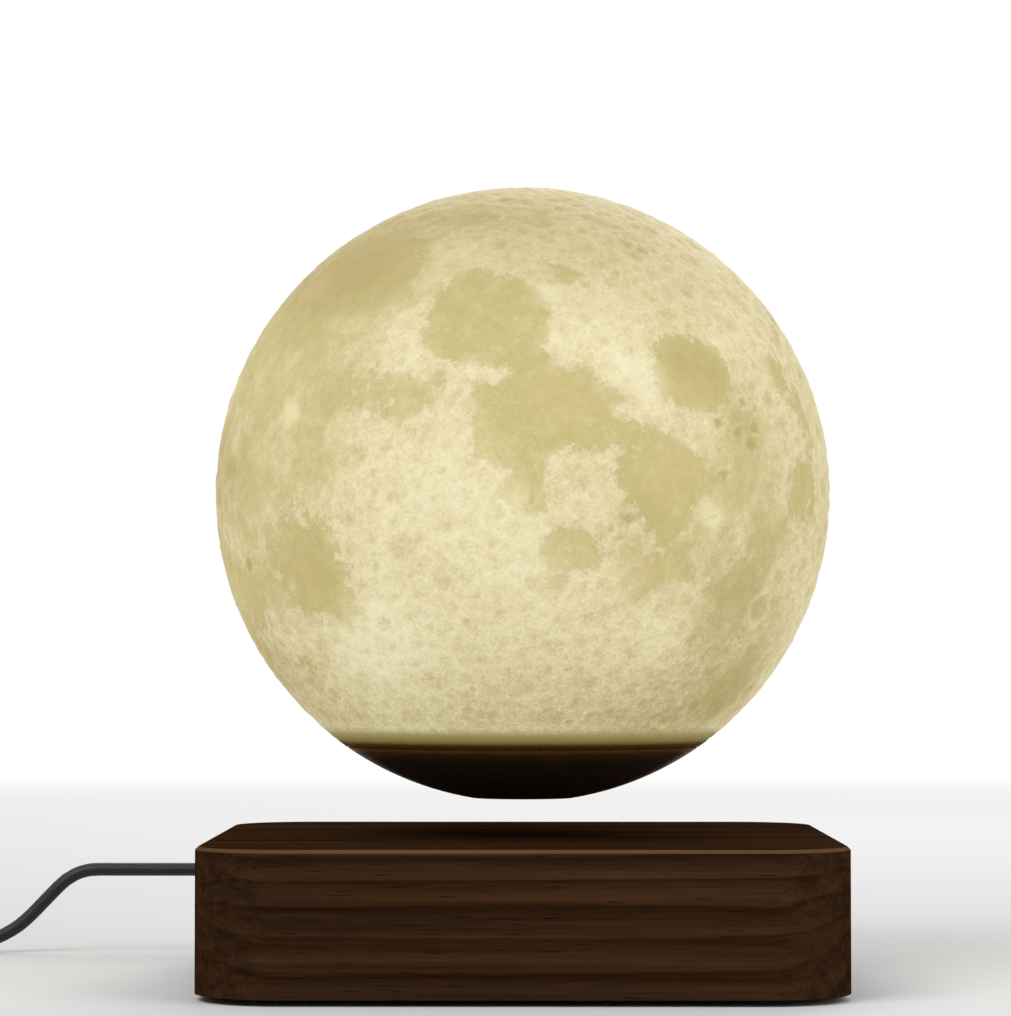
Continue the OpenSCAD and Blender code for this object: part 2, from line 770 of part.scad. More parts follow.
// Disc that holds the magnet down, on three legs, with pegs for the power board
module magnet_cover() {
    color("whitesmoke") difference() {
        union() {
            translate([0, 0, cover_z]) cylinder(h = cover_t, r = cover_r);
            around(3, cover_screw_ring_r, 30) translate([0, 0, seat_z]) cylinder(h = cover_z - seat_z, d = boss_d);
            around(3, power_post_ring_r, 90) translate([0, 0, cover_top_z]) {
                cylinder(h = power_post_h, d = power_post_d);
                cylinder(h = power_post_h + board_t + peg_rise, d = peg_d);
            }
        }
        around(3, cover_screw_ring_r, 30) translate([0, 0, seat_z - past])
            cylinder(h = cover_top_z - seat_z + 2 * past, d = cover_screw_d + 2 * snug);
    }
}

module cover_screws() {
    color("silver") around(3, cover_screw_ring_r, 30)
        translate([0, 0, cover_top_z]) pan_screw(cover_screw_d, cover_screw_l, cover_head_d, cover_head_h);
}

module receive_coil() {
    color("peru") translate([0, 0, receive_z]) tube(receive_out_r, receive_in_r, receive_t);
}

module power_board() {
    color("darkgreen") difference() {
        translate([0, 0, power_board_z]) tube(power_board_d / 2, stalk_foot_r + stalk_gap, board_t);
        around(3, power_post_ring_r, 90)
            translate([0, 0, power_board_z - past]) cylinder(h = board_t + 2 * past, d = peg_d + 2 * snug);
    }
}

module power_parts() {
    color("dimgray") translate([0, 0, power_board_z + board_t]) {
        around(4, power_part_ring_r, 45)
            linear_extrude(rectifier_h) square([rectifier_w, rectifier_l], center = true);
        around(2, power_part_ring_r) cylinder(h = capacitor_h, d = capacitor_d);
    }
}

module led_post() {
    color("lightgray") translate([0, 0, cover_top_z]) {
        cylinder(h = stalk_flange_t, r = stalk_foot_r);
        cylinder(h = light_h, r = stalk_r);
        translate([0, 0, light_h - stalk_flange_t]) cylinder(h = stalk_flange_t, r = stalk_head_r);
    }
}

module led_board() {
    color("white") translate([0, 0, light_board_z]) cylinder(h = board_t, d = light_board_d);
}

module led_chips() {
    color("khaki") translate([0, 0, light_board_z + board_t]) {
        around(light_count, light_board_d / 2 - chip_w) linear_extrude(chip_h) square(chip_w, center = true);
        around(4, chip_w * 2) linear_extrude(chip_h) square(chip_w, center = true);
    }
}

// ---------- plug and cord ----------

module plug_barrel() {
    color("silver") translate([jack_x, plug_face_y, jack_z]) rotate([90, 0, 0])
        tube(barrel_d / 2, socket_pin_d / 2 + snug, barrel_l);
}

// Angled body: a round head on the barrel, and an arm that runs left to the strain relief
module plug_body() {
    color("black") {
        translate([jack_x, plug_face_y + plug_w, jack_z]) rotate([90, 0, 0]) cylinder(h = plug_w, d = plug_w);
        translate([jack_x, cord_y, jack_z]) rotate([0, -90, 0]) cylinder(h = plug_l, d = plug_w - 1);
    }
}

module plug_relief() {
    color("black") translate([relief_x, cord_y, jack_z]) rotate([0, -90, 0])
        ribbed_relief(relief_l, relief_big_d, relief_small_d);
}

// A tapered sleeve with grooves round it
module ribbed_relief(l, d1, d2) {
    groove_l = l / (2 * relief_ribs + 1);
    difference() {
        cylinder(h = l, d1 = d1, d2 = d2);
        for (i = [0 : relief_ribs - 1])
            translate([0, 0, (2 * i + 1) * groove_l]) difference() {
                cylinder(h = groove_l, d = d1 + 2 * past);
                translate([0, 0, -past])
                    cylinder(h = l, d1 = relief_d(i, groove_l, l, d1, d2), d2 = d2 - 2 * rib_groove);
            }
    }
}

function relief_d(i, groove_l, l, d1, d2) =
    d1 + (d2 - d1) * (2 * i + 1) * groove_l / l - 2 * rib_groove;

// Unit vector along v
function unit(v) = v / norm(v);

// Direction of a path at point i
function heading(path, i) =
    unit(path[min(i + 1, len(path) - 1)] - path[max(i - 1, 0)]);

// A tube of radius r along a path, with sides faces round it
module swept_tube(path, r, sides) {
    up = [0, 0, 1];
    last = len(path) - 1;
    points = [for (i = [0 : last])
        let (t = heading(path, i), s = unit(cross(up, t)), n = cross(t, s))
            for (k = [0 : sides - 1])
                let (a = (k + 0.5) * 360 / sides) path[i] + r * (cos(a) * s + sin(a) * n)];
    walls = [for (i = [0 : last - 1], k = [0 : sides - 1])
        let (a = i * sides + k, b = i * sides + (k + 1) % sides)
            each [[a, b, a + sides], [b, b + sides, a + sides]]];
    caps = [for (k = [1 : sides - 2]) each [[0, k + 1, k], last * sides * [1, 1, 1] + [0, k, k + 1]]];
    polyhedron(points, concat(walls, caps));
}

module cord_lead() {
    color("black") swept_tube(ROUTE, cord_r, cord_sides);
}

// Radius of the coil after t turns: in and out again, once per pair of layers
function coil_r(t) =
    let (u = t / layer_turns, k = floor(u), f = u - k)
        k % 2 == 0 ? coil_outer_r - (coil_outer_r - coil_inner_r) * f
                   : coil_inner_r + (coil_outer_r - coil_inner_r) * f;

// Layer of the coil after t turns: it climbs in the half turn where the spiral turns back
function coil_layer(t) =
    let (u = round(t / layer_turns), away = t - u * layer_turns)
        u <= 0 ? 0 : u >= coil_layers ? coil_layers - 1 : u - 1 + min(1, max(0, away * 2 + 0.5));

function coil_point(t) =
    let (a = 90 + 360 * t)
        coil_center + [coil_r(t) * cos(a), coil_r(t) * sin(a), coil_layer(t) * coil_pitch];

COIL = concat([coil_start],
    [for (i = [0 : wound_turns * coil_steps]) coil_point(i / coil_steps)],
    [coil_point(wound_turns) - [0, cord_d, 0]]);

// Least gap between turns that lie beside or on each other
coil_gap = min([for (i = [1 : len(COIL) - 2], j = [i + coil_steps / 2 : len(COIL) - 2])
    norm(COIL[i] - COIL[j])]) - cord_d;
echo(coil_gap = coil_gap);

module cord_coil() {
    color("black") swept_tube(COIL, cord_r, coil_sides);
}

// Band round all the turns, on the side towards the lamp
module coil_tie() {
    hole_w = coil_outer_r - coil_inner_r + cord_d + 2 * tie_slip;
    hole_h = coil_top_z - coil_center[2] + cord_d + 2 * tie_slip;
    middle_z = (coil_top_z + coil_center[2]) / 2;
    color("dimgray") translate([coil_center[0] + (coil_outer_r + coil_inner_r) / 2, coil_center[1], middle_z])
        rotate([90, 0, 0]) linear_extrude(tie_w, center = true) difference() {
            rounded_rect(hole_w + 2 * tie_t, hole_h + 2 * tie_t, 2 + tie_t);
            rounded_rect(hole_w, hole_h, 2);
        }
}

module cord_tail() {
    color("black") swept_tube([for (i = [0 : 3]) [tail_x, tail_start_y - tail_l * i / 3, coil_top_z]],
        cord_r, cord_sides);
}

// ---------- adapter ----------

module adapter_relief() {
    color("black") translate([tail_x, adapter_y, coil_top_z]) rotate([-90, 0, 0])
        ribbed_relief(adapter_relief_l, adapter_relief_d, relief_small_d);
}

module adapter_case() {
    color("black") translate([tail_x, adapter_y, adapter_h / 2]) rotate([90, 0, 0])
        linear_extrude(adapter_l - adapter_face_t) rounded_rect(adapter_w, adapter_h, adapter_r);
}

module adapter_face() {
    color("dimgray") translate([tail_x, adapter_end_y + adapter_face_t, adapter_h / 2]) rotate([90, 0, 0])
        linear_extrude(adapter_face_t) rounded_rect(adapter_w, adapter_h, adapter_r);
}

module adapter_pins() {
    color("gold") for (side = [-1, 1])
        translate([tail_x + side * blade_gap / 2, adapter_end_y, adapter_h / 2]) difference() {
            translate([-blade_t / 2, -blade_l, -blade_w / 2]) cube([blade_t, blade_l, blade_w]);
            translate([-blade_t, -blade_l + blade_w / 2, 0]) rotate([0, 90, 0])
                cylinder(h = 2 * blade_t, d = blade_hole_d);
        }
}

wood_case();
bottom_plate();
rubber_feet();
base_screws();
control_board();
board_parts();
board_screws();
module_tray();
tray_screws();
ring_magnet();
yoke_plate();
coil_bobbins();
coil_windings();
coil_cores();
hall_board();
hall_sensors();
spacer_ring();
transmit_coil();
touch_pad();
dc_jack();
jack_pin();
jack_nut();
moon_shell();
neck_ring();
foot_cap();
lift_magnet();
magnet_cover();
cover_screws();
receive_coil();
power_board();
power_parts();
led_post();
led_board();
led_chips();
plug_barrel();
plug_body();
plug_relief();
cord_lead();
cord_coil();
coil_tie();
cord_tail();
adapter_relief();
adapter_case();
adapter_face();
adapter_pins();
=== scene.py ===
# %% [markdown]
# # A levitating moon lamp
# A hollow moon globe, printed in pale plastic and lit from inside, hovers over a square walnut
# base. The construction model holds every part at its real size. This script only dresses it: it
# gives each part its finish, and remakes in finer mesh the pieces whose surface the construction
# model keeps plain. All lengths below are written in millimetres and turned to metres where a
# mesh is made.

# %% Load the construction model
import json
import math

import bmesh
import bpy
import numpy as np
from mathutils import Matrix, Vector


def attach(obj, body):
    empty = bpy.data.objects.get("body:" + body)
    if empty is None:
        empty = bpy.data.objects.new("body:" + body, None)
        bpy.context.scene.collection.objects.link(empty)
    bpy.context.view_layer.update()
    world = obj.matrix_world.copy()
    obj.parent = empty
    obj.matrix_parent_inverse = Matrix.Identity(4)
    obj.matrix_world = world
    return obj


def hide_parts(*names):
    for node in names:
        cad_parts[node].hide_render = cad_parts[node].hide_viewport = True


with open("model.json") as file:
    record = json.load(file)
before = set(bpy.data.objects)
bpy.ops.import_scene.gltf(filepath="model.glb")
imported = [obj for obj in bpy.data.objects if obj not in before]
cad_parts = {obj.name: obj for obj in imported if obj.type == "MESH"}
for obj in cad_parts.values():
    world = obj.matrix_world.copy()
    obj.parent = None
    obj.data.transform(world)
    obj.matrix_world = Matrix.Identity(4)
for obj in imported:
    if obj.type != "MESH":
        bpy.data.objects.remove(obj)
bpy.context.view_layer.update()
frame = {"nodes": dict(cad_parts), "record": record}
scene = bpy.context.scene
MM = 0.001

# %% [markdown]
# ## Camera
# The photograph was taken from just above the table, a little under a metre away, with a long
# lens: the top of the base shows as a thin strip. The camera tilts up slightly, which puts the
# horizon below the middle of the picture.

# %% Place the camera
CAMERA_AWAY = 900
CAMERA_HEIGHT = 76.5
FOCAL_PIXELS = 3680
PICTURE_W, PICTURE_H = 1011, 1016
HORIZON_ROW = 664.3
AXIS_COLUMN = 522.7
SENSOR_W = 36
NEAREST_M, FARTHEST_M = 0.01, 100

camera_data = bpy.data.cameras.new("camera")
camera = bpy.data.objects.new("camera", camera_data)
scene.collection.objects.link(camera)
scene.camera = camera
camera_data.sensor_fit = "AUTO"
camera_data.sensor_width = SENSOR_W
camera_data.lens = FOCAL_PIXELS * SENSOR_W / max(PICTURE_W, PICTURE_H)
camera_data.clip_start, camera_data.clip_end = NEAREST_M, FARTHEST_M
tilt = math.atan((HORIZON_ROW - PICTURE_H / 2) / FOCAL_PIXELS)
turn = math.atan((AXIS_COLUMN - PICTURE_W / 2) / FOCAL_PIXELS)
camera.location = (0, -CAMERA_AWAY * MM, CAMERA_HEIGHT * MM)
camera.rotation_euler = (math.radians(90) + tilt, 0, turn)
print("lens", round(camera_data.lens, 1), "tilt", round(math.degrees(tilt), 2))

# %% [markdown]
# ## Helpers for meshes
# Most parts, such as a cord, a foot or a plug, are rings of points: a section carried along a
# path, or a profile spun about an axis. So two helpers join rings with faces. Every finished
# piece sits at the origin with its place in its mesh, as the construction model's own parts do.

# %% New pieces and tubes
def new_piece(name, points, faces, smooth=True):
    """A mesh object from points in millimetres."""
    mesh = bpy.data.meshes.new(name)
    mesh.from_pydata([tuple(MM * c for c in p) for p in points], [], [tuple(f) for f in faces])
    mesh.update()
    if smooth:
        mesh.shade_smooth()
    piece = bpy.data.objects.new(name, mesh)
    scene.collection.objects.link(piece)
    return piece


def quads_between(first, second, count):
    """Faces between two rings of count points, numbered from first and from second."""
    return [(first + k, first + (k + 1) % count, second + (k + 1) % count, second + k)
            for k in range(count)]


def tube_faces(rings, count):
    """Faces of a tube through rings of count points, closed at both ends."""
    faces = []
    for ring in range(rings - 1):
        faces += quads_between(ring * count, (ring + 1) * count, count)
    last = (rings - 1) * count
    return faces + [tuple(range(count - 1, -1, -1)), tuple(range(last, last + count))]

# %% Shading and dressing a piece
FINISHES = {}


def sharpen(piece, degrees=40):
    """Smooth shading that keeps edges sharper than an angle."""
    piece.data.shade_smooth()
    shell = bmesh.new()
    shell.from_mesh(piece.data)
    for edge in shell.edges:
        folded = len(edge.link_faces) == 2 and edge.calc_face_angle() > math.radians(degrees)
        edge.smooth = not folded
    shell.to_mesh(piece.data)
    shell.free()
    return piece


def dress(piece, finish, body, *nodes):
    """Gives a piece its finish and its body, and hides the construction nodes that it stands for.
    """
    piece.data.materials.clear()
    piece.data.materials.append(FINISHES[finish])
    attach(piece, body)
    if nodes:
        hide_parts(*nodes)
    print(piece.name, len(piece.data.polygons), "faces")

# %% [markdown]
# ## Helpers for finishes
# Every finish is made of nodes that read the piece's own Object coordinates, so the pattern is
# fixed in the material, at its real size in metres, and stays put when a part moves. A node's
# socket knows the tree that it belongs to, so a new node is added beside the sockets that feed
# it.

# %% Nodes and finishes
def wire(kind, inputs=None, tree=None, **settings):
    """Adds a node, sets its properties, and feeds its inputs from values or other sockets."""
    inputs = inputs or {}
    sockets = [key for key, value in inputs.items() if isinstance(value, bpy.types.NodeSocket)]
    tree = tree or inputs[sockets[0]].id_data
    made = tree.nodes.new(kind)
    for key, value in settings.items():
        setattr(made, key, value)
    for key, value in inputs.items():
        if key in sockets:
            tree.links.new(value, made.inputs[key])
        else:
            made.inputs[key].default_value = value
    return made


def new_finish(name, color, roughness, more=None):
    """A material kept under its name; returns its shader and its Object coordinates."""
    material = FINISHES[name] = bpy.data.materials.new(name)
    material.use_nodes = True
    tree = material.node_tree
    tree.nodes.clear()
    shader = wire("ShaderNodeBsdfPrincipled", {"Base Color": (*color, 1), "Roughness": roughness,
                                               **(more or {})}, tree)
    wire("ShaderNodeOutputMaterial", {"Surface": shader.outputs[0]})
    print("finish", name)
    return shader, tree.nodes.new("ShaderNodeTexCoord").outputs["Object"]


def feed(source, shader, socket):
    shader.id_data.links.new(source, shader.inputs[socket])

# %% Patterns, ramps and bumps
def stretched(place, x, y, z):
    return wire("ShaderNodeMapping", {"Vector": place, "Scale": (x, y, z)}).outputs[0]


def noise(place, per_mm, detail=4, roughness=0.55, out="Fac"):
    """Noise with a given number of grains in a millimetre."""
    return wire("ShaderNodeTexNoise", {"Vector": place, "Scale": per_mm / MM, "Detail": detail,
                                       "Roughness": roughness}).outputs[out]


def cells(place, per_mm, feature="F1"):
    return wire("ShaderNodeTexVoronoi", {"Vector": place, "Scale": per_mm / MM},
                feature=feature).outputs["Distance"]


def ramp(value, stops):
    """A colour or grey ramp: stops are (place, grey) or (place, (r, g, b))."""
    made = wire("ShaderNodeValToRGB", {0: value})
    elements = made.color_ramp.elements
    while len(elements) < len(stops):
        elements.new(0.5)
    for element, (place, color) in zip(elements, stops):
        element.position = place
        element.color = (*color, 1) if isinstance(color, tuple) else (color, color, color, 1)
    return made.outputs[0]


def raise_surface(shader, height, depth_mm):
    """Feeds a bump of a given depth to the shader."""
    bump = wire("ShaderNodeBump", {"Height": height, "Distance": depth_mm * MM})
    feed(bump.outputs[0], shader, "Normal")

# %% [markdown]
# ## Cord
# A thin black low-voltage lead. It leaves the angled plug behind the base straight to the left,
# bends down to the table just before the picture's edge, and the rest of its 1.5 m lies in a neat
# coil outside the picture, held by a band, with the adapter at its end. The route is the same as
# the construction model's. A swept tube with its own path keeps the real length.

# %% The cord's route
CORD_D = 3.5
ROUTE = [(-84, 82, 22), (-92, 82, 22), (-100, 82, 22), (-107, 82, 22), (-113, 82, 22),
         (-116, 82, 21.7), (-119, 82, 20.7), (-121.5, 82, 19.2), (-123.5, 82, 17.4),
         (-127, 82, 13.8), (-130.5, 82, 10.2), (-134, 82, 7.1), (-138, 82, 4.7), (-142, 82, 3.1),
         (-146, 82, 2.3), (-150, 82, 2), (-155, 82, 2), (-161, 82, 2.1), (-167, 82, 2.3),
         (-173, 82, 2.6), (-178, 82, 2.7), (-181.5, 82, 2.7)]
COIL_TURNS, COIL_LAYERS, COIL_PITCH, COIL_OUTER = 11.25, 4, 4, 25.3
TAIL = 22
INSIDE_ADAPTER = 33  # through the strain relief and into the case
STEPS_A_TURN = 48


def coil_route():
    """The coil: in and out again, one layer higher each time the spiral turns back."""
    start = np.array(ROUTE[-1], float)
    centre = start + [-CORD_D, -COIL_OUTER, 0]
    turns = np.arange(0, COIL_TURNS + 1e-9, 1 / STEPS_A_TURN)
    per_layer = COIL_TURNS / COIL_LAYERS
    inner = COIL_OUTER - COIL_PITCH * per_layer
    sweep = 1 - np.abs(1 - (turns / per_layer) % 2)
    radius = COIL_OUTER - (COIL_OUTER - inner) * sweep
    nearest = np.round(turns / per_layer)
    climb = np.clip((turns - nearest * per_layer) * 2 + 0.5, 0, 1)
    top = COIL_LAYERS - 1
    layer = np.where(nearest < 1, 0, np.where(nearest > top, top, nearest - 1 + climb))
    angle = np.radians(90 + 360 * turns)
    around = np.stack([radius * np.cos(angle), radius * np.sin(angle), layer * COIL_PITCH], 1)
    around += centre
    return [start, *around, around[-1] - [0, CORD_D, 0]]


def smooth_route(points, step=2.0):
    """A curve through the points, with a point about every step millimetres."""
    points = np.array(points, float)
    points = np.vstack([2 * points[0] - points[1], points, 2 * points[-1] - points[-2]])
    out = []
    for a, b, c, d in zip(points, points[1:], points[2:], points[3:]):
        count = max(1, round(np.linalg.norm(c - b) / step))
        for i in range(count):
            t = i / count
            out.append(0.5 * (2 * b + (c - a) * t + (2 * a - 5 * b + 4 * c - d) * t ** 2
                              + (3 * b - 3 * c + d - a) * t ** 3))
    out.append(points[-2])
    return np.array(out)


coil = coil_route()
tail_end = coil[-1] - np.array([0, TAIL + INSIDE_ADAPTER, 0])
cord_path = np.vstack([smooth_route(ROUTE)[:-1], coil[:-1], smooth_route([coil[-1], tail_end], 3)])

# %% [markdown]
# The sheath could be a curve with a round bevel. It is built from rings of points instead, each
# set square to the path, because the mesh then keeps the route's real length and its thickness
# round every turn of the coil.

# %% Sweep the cord
def swept(name, path, radius, sides=14):
    """A closed tube along a path."""
    ahead = np.gradient(path, axis=0)
    ahead /= np.linalg.norm(ahead, axis=1)[:, None]
    side = np.cross([0, 0, 1.0], ahead)
    side /= np.linalg.norm(side, axis=1)[:, None]
    up = np.cross(ahead, side)
    angle = np.arange(sides) * 2 * math.pi / sides
    rings = (path[:, None] + radius * (np.cos(angle)[None, :, None] * side[:, None]
                                       + np.sin(angle)[None, :, None] * up[:, None]))
    return new_piece(name, rings.reshape(-1, 3), tube_faces(len(path), sides))


shader, place = new_finish("cord_sheath", (0.009, 0.009, 0.010), 0.42, {"Specular IOR Level": 0.35})
feed(ramp(noise(place, 0.35), [(0.35, (0.006, 0.006, 0.007)), (0.7, (0.013, 0.013, 0.014))]),
     shader, "Base Color")
feed(ramp(noise(place, 1.5), [(0.3, 0.36), (0.7, 0.52)]), shader, "Roughness")
raise_surface(shader, noise(place, 4, 2), 0.03)

cord = swept("cord", cord_path, CORD_D / 2)
dress(sharpen(cord, 60), "cord_sheath", "base", "cord_lead", "cord_coil", "cord_tail")

# %% [markdown]
# ## Plastics and rubber
# Moulded plastic isn't one flat colour: its skin has a fine spark-eroded grain and slight changes
# in gloss. Each plastic could be a tree of its own, but they differ in a few numbers only, so one
# recipe and a table make them all: colour, roughness, grains in a millimetre, their depth, and
# how much the colour varies.

# %% Moulded plastics
def moulded(name, color, roughness, grain_per_mm, grain_mm, spread=0.25):
    """A moulded plastic, with its fine grain and its slight changes in colour and gloss."""
    shader, place = new_finish(name, color, roughness, {"Specular IOR Level": 0.35})
    light = tuple(min(1, c * (1 + spread)) for c in color)
    dark = tuple(c * (1 - spread) for c in color)
    feed(ramp(noise(place, 0.12, 5), [(0.3, dark), (0.7, light)]), shader, "Base Color")
    feed(ramp(noise(place, 0.5, 3), [(0.3, max(0, roughness - 0.08)),
                                     (0.7, min(1, roughness + 0.08))]), shader, "Roughness")
    raise_surface(shader, cells(place, grain_per_mm), grain_mm)
    return shader, place


MOULDINGS = {"plate_plastic": ((0.028, 0.028, 0.029), 0.55, 2, 0.04),
             "cord_plastic": ((0.010, 0.010, 0.011), 0.45, 3, 0.02),
             "adapter_plastic": ((0.013, 0.013, 0.014), 0.5, 2.2, 0.04),
             "socket_plastic": ((0.018, 0.018, 0.019), 0.25, 4, 0.008),
             "tray_plastic": ((0.62, 0.62, 0.59), 0.5, 3, 0.02, 0.06),
             "bobbin_plastic": ((0.6, 0.52, 0.36), 0.45, 3, 0.02, 0.08),
             "neck_plastic": ((0.62, 0.52, 0.32), 0.5, 3, 0.02, 0.06),
             "chip_plastic": ((0.02, 0.02, 0.022), 0.4, 5, 0.01),
             "foot_rubber": ((0.014, 0.014, 0.015), 0.75, 1.2, 0.05),
             "ferrite": ((0.045, 0.046, 0.05), 0.45, 2.5, 0.03),
             "fibre_board": ((0.33, 0.22, 0.11), 0.75, 1.5, 0.05)}
for name, recipe in MOULDINGS.items():
    moulded(name, *recipe)

# %% [markdown]
# The foot of the globe is dark brown plastic, the lower end of the ball. Just under the seam a
# little of the globe's light leaks into its rim. A lamp inside would take long to render and be
# lost in the export, so the rim glows by itself, more the higher it lies.

# %% The globe's foot
RIM_LOW, RIM_HIGH = 53.5, 56.5


def height_share(place, low, high, most=1.0):
    """A share that grows from 0 to most between two heights in millimetres."""
    height = wire("ShaderNodeSeparateXYZ", {0: place}).outputs["Z"]
    return wire("ShaderNodeMapRange", {"Value": height, "From Min": low * MM,
                                       "From Max": high * MM, "To Max": most}).outputs[0]


shader, place = moulded("foot_plastic", (0.030, 0.017, 0.009), 0.38, 4, 0.012)
feed(ramp(height_share(place, RIM_LOW, RIM_HIGH),
          [(0.0, (0, 0, 0)), (0.6, (0.01, 0.004, 0.0005)), (1.0, (0.05, 0.02, 0.003))]),
     shader, "Emission Color")
shader.inputs["Emission Strength"].default_value = 1.0

# %% [markdown]
# ## Metals
# Turned and brushed metal shows fine marks in one direction. They could be a picture, but a noise
# that is stretched before it is read does the same at any size. The table gives colour,
# roughness, stretch, marks in a millimetre and their depth.

# %% Metals
def metal(name, color, roughness, marks=(1, 1, 1), marks_per_mm=3.0, depth_mm=0.008):
    """A metal with fine marks, a little worn."""
    shader, place = new_finish(name, color, roughness, {"Metallic": 1.0})
    streaks = noise(stretched(place, *marks), marks_per_mm)
    feed(ramp(streaks, [(0.3, max(0.02, roughness - 0.1)), (0.7, roughness + 0.12)]),
         shader, "Roughness")
    worn = tuple(c * 0.82 for c in color)
    feed(ramp(noise(place, 0.4), [(0.35, worn), (0.6, color)]), shader, "Base Color")
    raise_surface(shader, streaks, depth_mm)


METALS = {"screw_steel": ((0.56, 0.56, 0.57), 0.3),
          "core_steel": ((0.34, 0.34, 0.36), 0.35, (1, 1, 0.1)),
          "nickel": ((0.66, 0.65, 0.62), 0.16, (1, 1, 1), 1.5, 0.003),
          "magnet_nickel": ((0.68, 0.67, 0.65), 0.14, (1, 1, 1), 1, 0.003),
          "plated_brass": ((0.72, 0.68, 0.58), 0.2, (1, 1, 1), 2, 0.004),
          "heat_sink": ((0.7, 0.7, 0.71), 0.32, (0.05, 0.05, 1), 6, 0.01),
          "copper_foil": ((0.75, 0.4, 0.22), 0.3, (1, 0.1, 1), 3, 0.01)}
for name, recipe in METALS.items():
    metal(name, *recipe)

# %% [markdown]
# Winding wire is copper under a thin coat of clear enamel. The shader has a coat of its own,
# which gives the second, sharper gloss, so no second material is needed.

# %% Enamelled copper wire
shader, place = new_finish("copper_wire", (0.55, 0.19, 0.06), 0.25,
                           {"Metallic": 0.9, "Coat Weight": 0.6, "Coat Roughness": 0.1})
feed(ramp(noise(place, 0.8), [(0.35, (0.42, 0.13, 0.035)), (0.65, (0.68, 0.27, 0.09))]),
     shader, "Base Color")

# %% [markdown]
# ## Boards, chips and band
# A circuit board is copper tracks under coloured solder mask, with bare pads where the mask is
# open. Drawn tracks would be lost at this size: a brick pattern gives lines that run square, and
# round cells give the pads.

# %% Circuit boards
def mixed(share, a, b):
    return wire("ShaderNodeMix", {0: share, 6: a, 7: b}, data_type="RGBA").outputs[2]


def board_finish(name, mask, bare):
    """Solder mask over copper tracks, with bright pads where the mask is open."""
    shader, place = new_finish(name, mask, 0.3)
    bricks = wire("ShaderNodeTexBrick", {"Vector": place, "Scale": 0.35 / MM, "Mortar Size": 0.05,
                                         "Mortar Smooth": 0.1}).outputs["Fac"]
    tracks = ramp(bricks, [(0.4, 0.0), (0.6, 1.0)])
    pads = ramp(cells(place, 0.4), [(0.16, 1.0), (0.2, 0.0)])
    lighter = tuple(c * 1.5 + 0.01 for c in mask)
    feed(mixed(pads, mixed(tracks, (*mask, 1), (*lighter, 1)), (*bare, 1)), shader, "Base Color")
    raise_surface(shader, tracks, 0.03)


board_finish("circuit_board", (0.012, 0.10, 0.04), (0.6, 0.55, 0.4))
board_finish("light_board", (0.78, 0.78, 0.76), (0.6, 0.6, 0.58))

# %% [markdown]
# The phosphor on a light chip is deep yellow and glows warm white. The band round the coiled cord
# is woven tape: waves on the slant stand for its threads, raised a little.

# %% Phosphor and woven band
shader, place = new_finish("light_chip", (0.9, 0.72, 0.25), 0.35,
                           {"Emission Color": (1, 0.85, 0.5, 1), "Emission Strength": 1.0})
feed(ramp(noise(place, 2, 3), [(0.3, (0.85, 0.62, 0.18)), (0.7, (0.95, 0.8, 0.35))]),
     shader, "Base Color")

shader, place = new_finish("tie_fabric", (0.02, 0.02, 0.022), 0.85)
weave = wire("ShaderNodeTexWave", {"Vector": place, "Scale": 0.5 / MM, "Distortion": 1.5,
                                   "Detail": 2}, bands_direction="DIAGONAL").outputs["Fac"]
feed(ramp(weave, [(0.2, (0.012, 0.012, 0.013)), (0.8, (0.035, 0.035, 0.038))]),
     shader, "Base Color")
raise_surface(shader, weave, 0.12)

# %% [markdown]
# ## Walnut
# The base is solid dark walnut, oiled, with its grain running left to right. Wood is made of
# growth rings, so the grain is one pattern through the whole block: long streaks on the top and
# front, and curved bands on the end faces. Short dark pores lie along the grain. The sanded edges
# around the top get a painted highlight, paler than the wood, as if they caught the light: they
# alone face neither up nor level. A photograph of wood would show its seams at the corners. Noise
# and waves through the block don't, and they are mixed by sums, so helpers for sums come first.

# %% Sums of patterns
def maths(operation, a, b=0.0, clamp=False):
    return wire("ShaderNodeMath", {0: a, 1: b}, operation=operation, use_clamp=clamp).outputs[0]


def times(a, b):
    return maths("MULTIPLY", a, b)


def minus(a, b, clamp=False):
    return maths("SUBTRACT", a, b, clamp)


def added(*values):
    total = values[0]
    for value in values[1:]:
        total = maths("ADD", total, value)
    return total


def vectors(operation, a, b):
    return wire("ShaderNodeVectorMath", {0: a, 1: b}, operation=operation).outputs[0]

# %% Walnut
HEART = (0.0, -0.06, 0.22)  # how far the tree's middle lies from the block, in metres
END_GREY = (0.55, 0.55, 0.55, 1)
# The second colour here is a painted highlight for the sanded edges round the top.
PORE_COLOR, EDGE_HIGHLIGHT_COLOR = (0.008, 0.004, 0.002, 1), (0.16, 0.085, 0.038, 1)

shader, place = new_finish("walnut", (0.04, 0.018, 0.008), 0.5, {"Specular IOR Level": 0.0})
along = stretched(place, 0.045, 1, 1)
drift = noise(along, 0.035, 3, 0.5, "Color")
bent = vectors("ADD", along, vectors("MULTIPLY", drift, (0.0, 0.03, 0.03)))
rings = wire("ShaderNodeTexWave", {"Vector": vectors("ADD", bent, HEART), "Scale": 0.042 / MM,
                                   "Distortion": 3.0, "Detail": 3, "Detail Scale": 1.2,
                                   "Detail Roughness": 0.6},
             wave_type="RINGS", rings_direction="X", wave_profile="SAW").outputs["Fac"]
rings = ramp(rings, [(0.0, 0.25), (0.1, 0.9), (0.7, 0.55), (0.97, 0.0)])
geometry = wire("ShaderNodeNewGeometry", tree=place.id_data)
facing = wire("ShaderNodeSeparateXYZ", {0: geometry.outputs["True Normal"]}).outputs
end_grain = times(maths("ABSOLUTE", facing["X"]), 0.6)
rings = mixed(end_grain, rings, END_GREY)

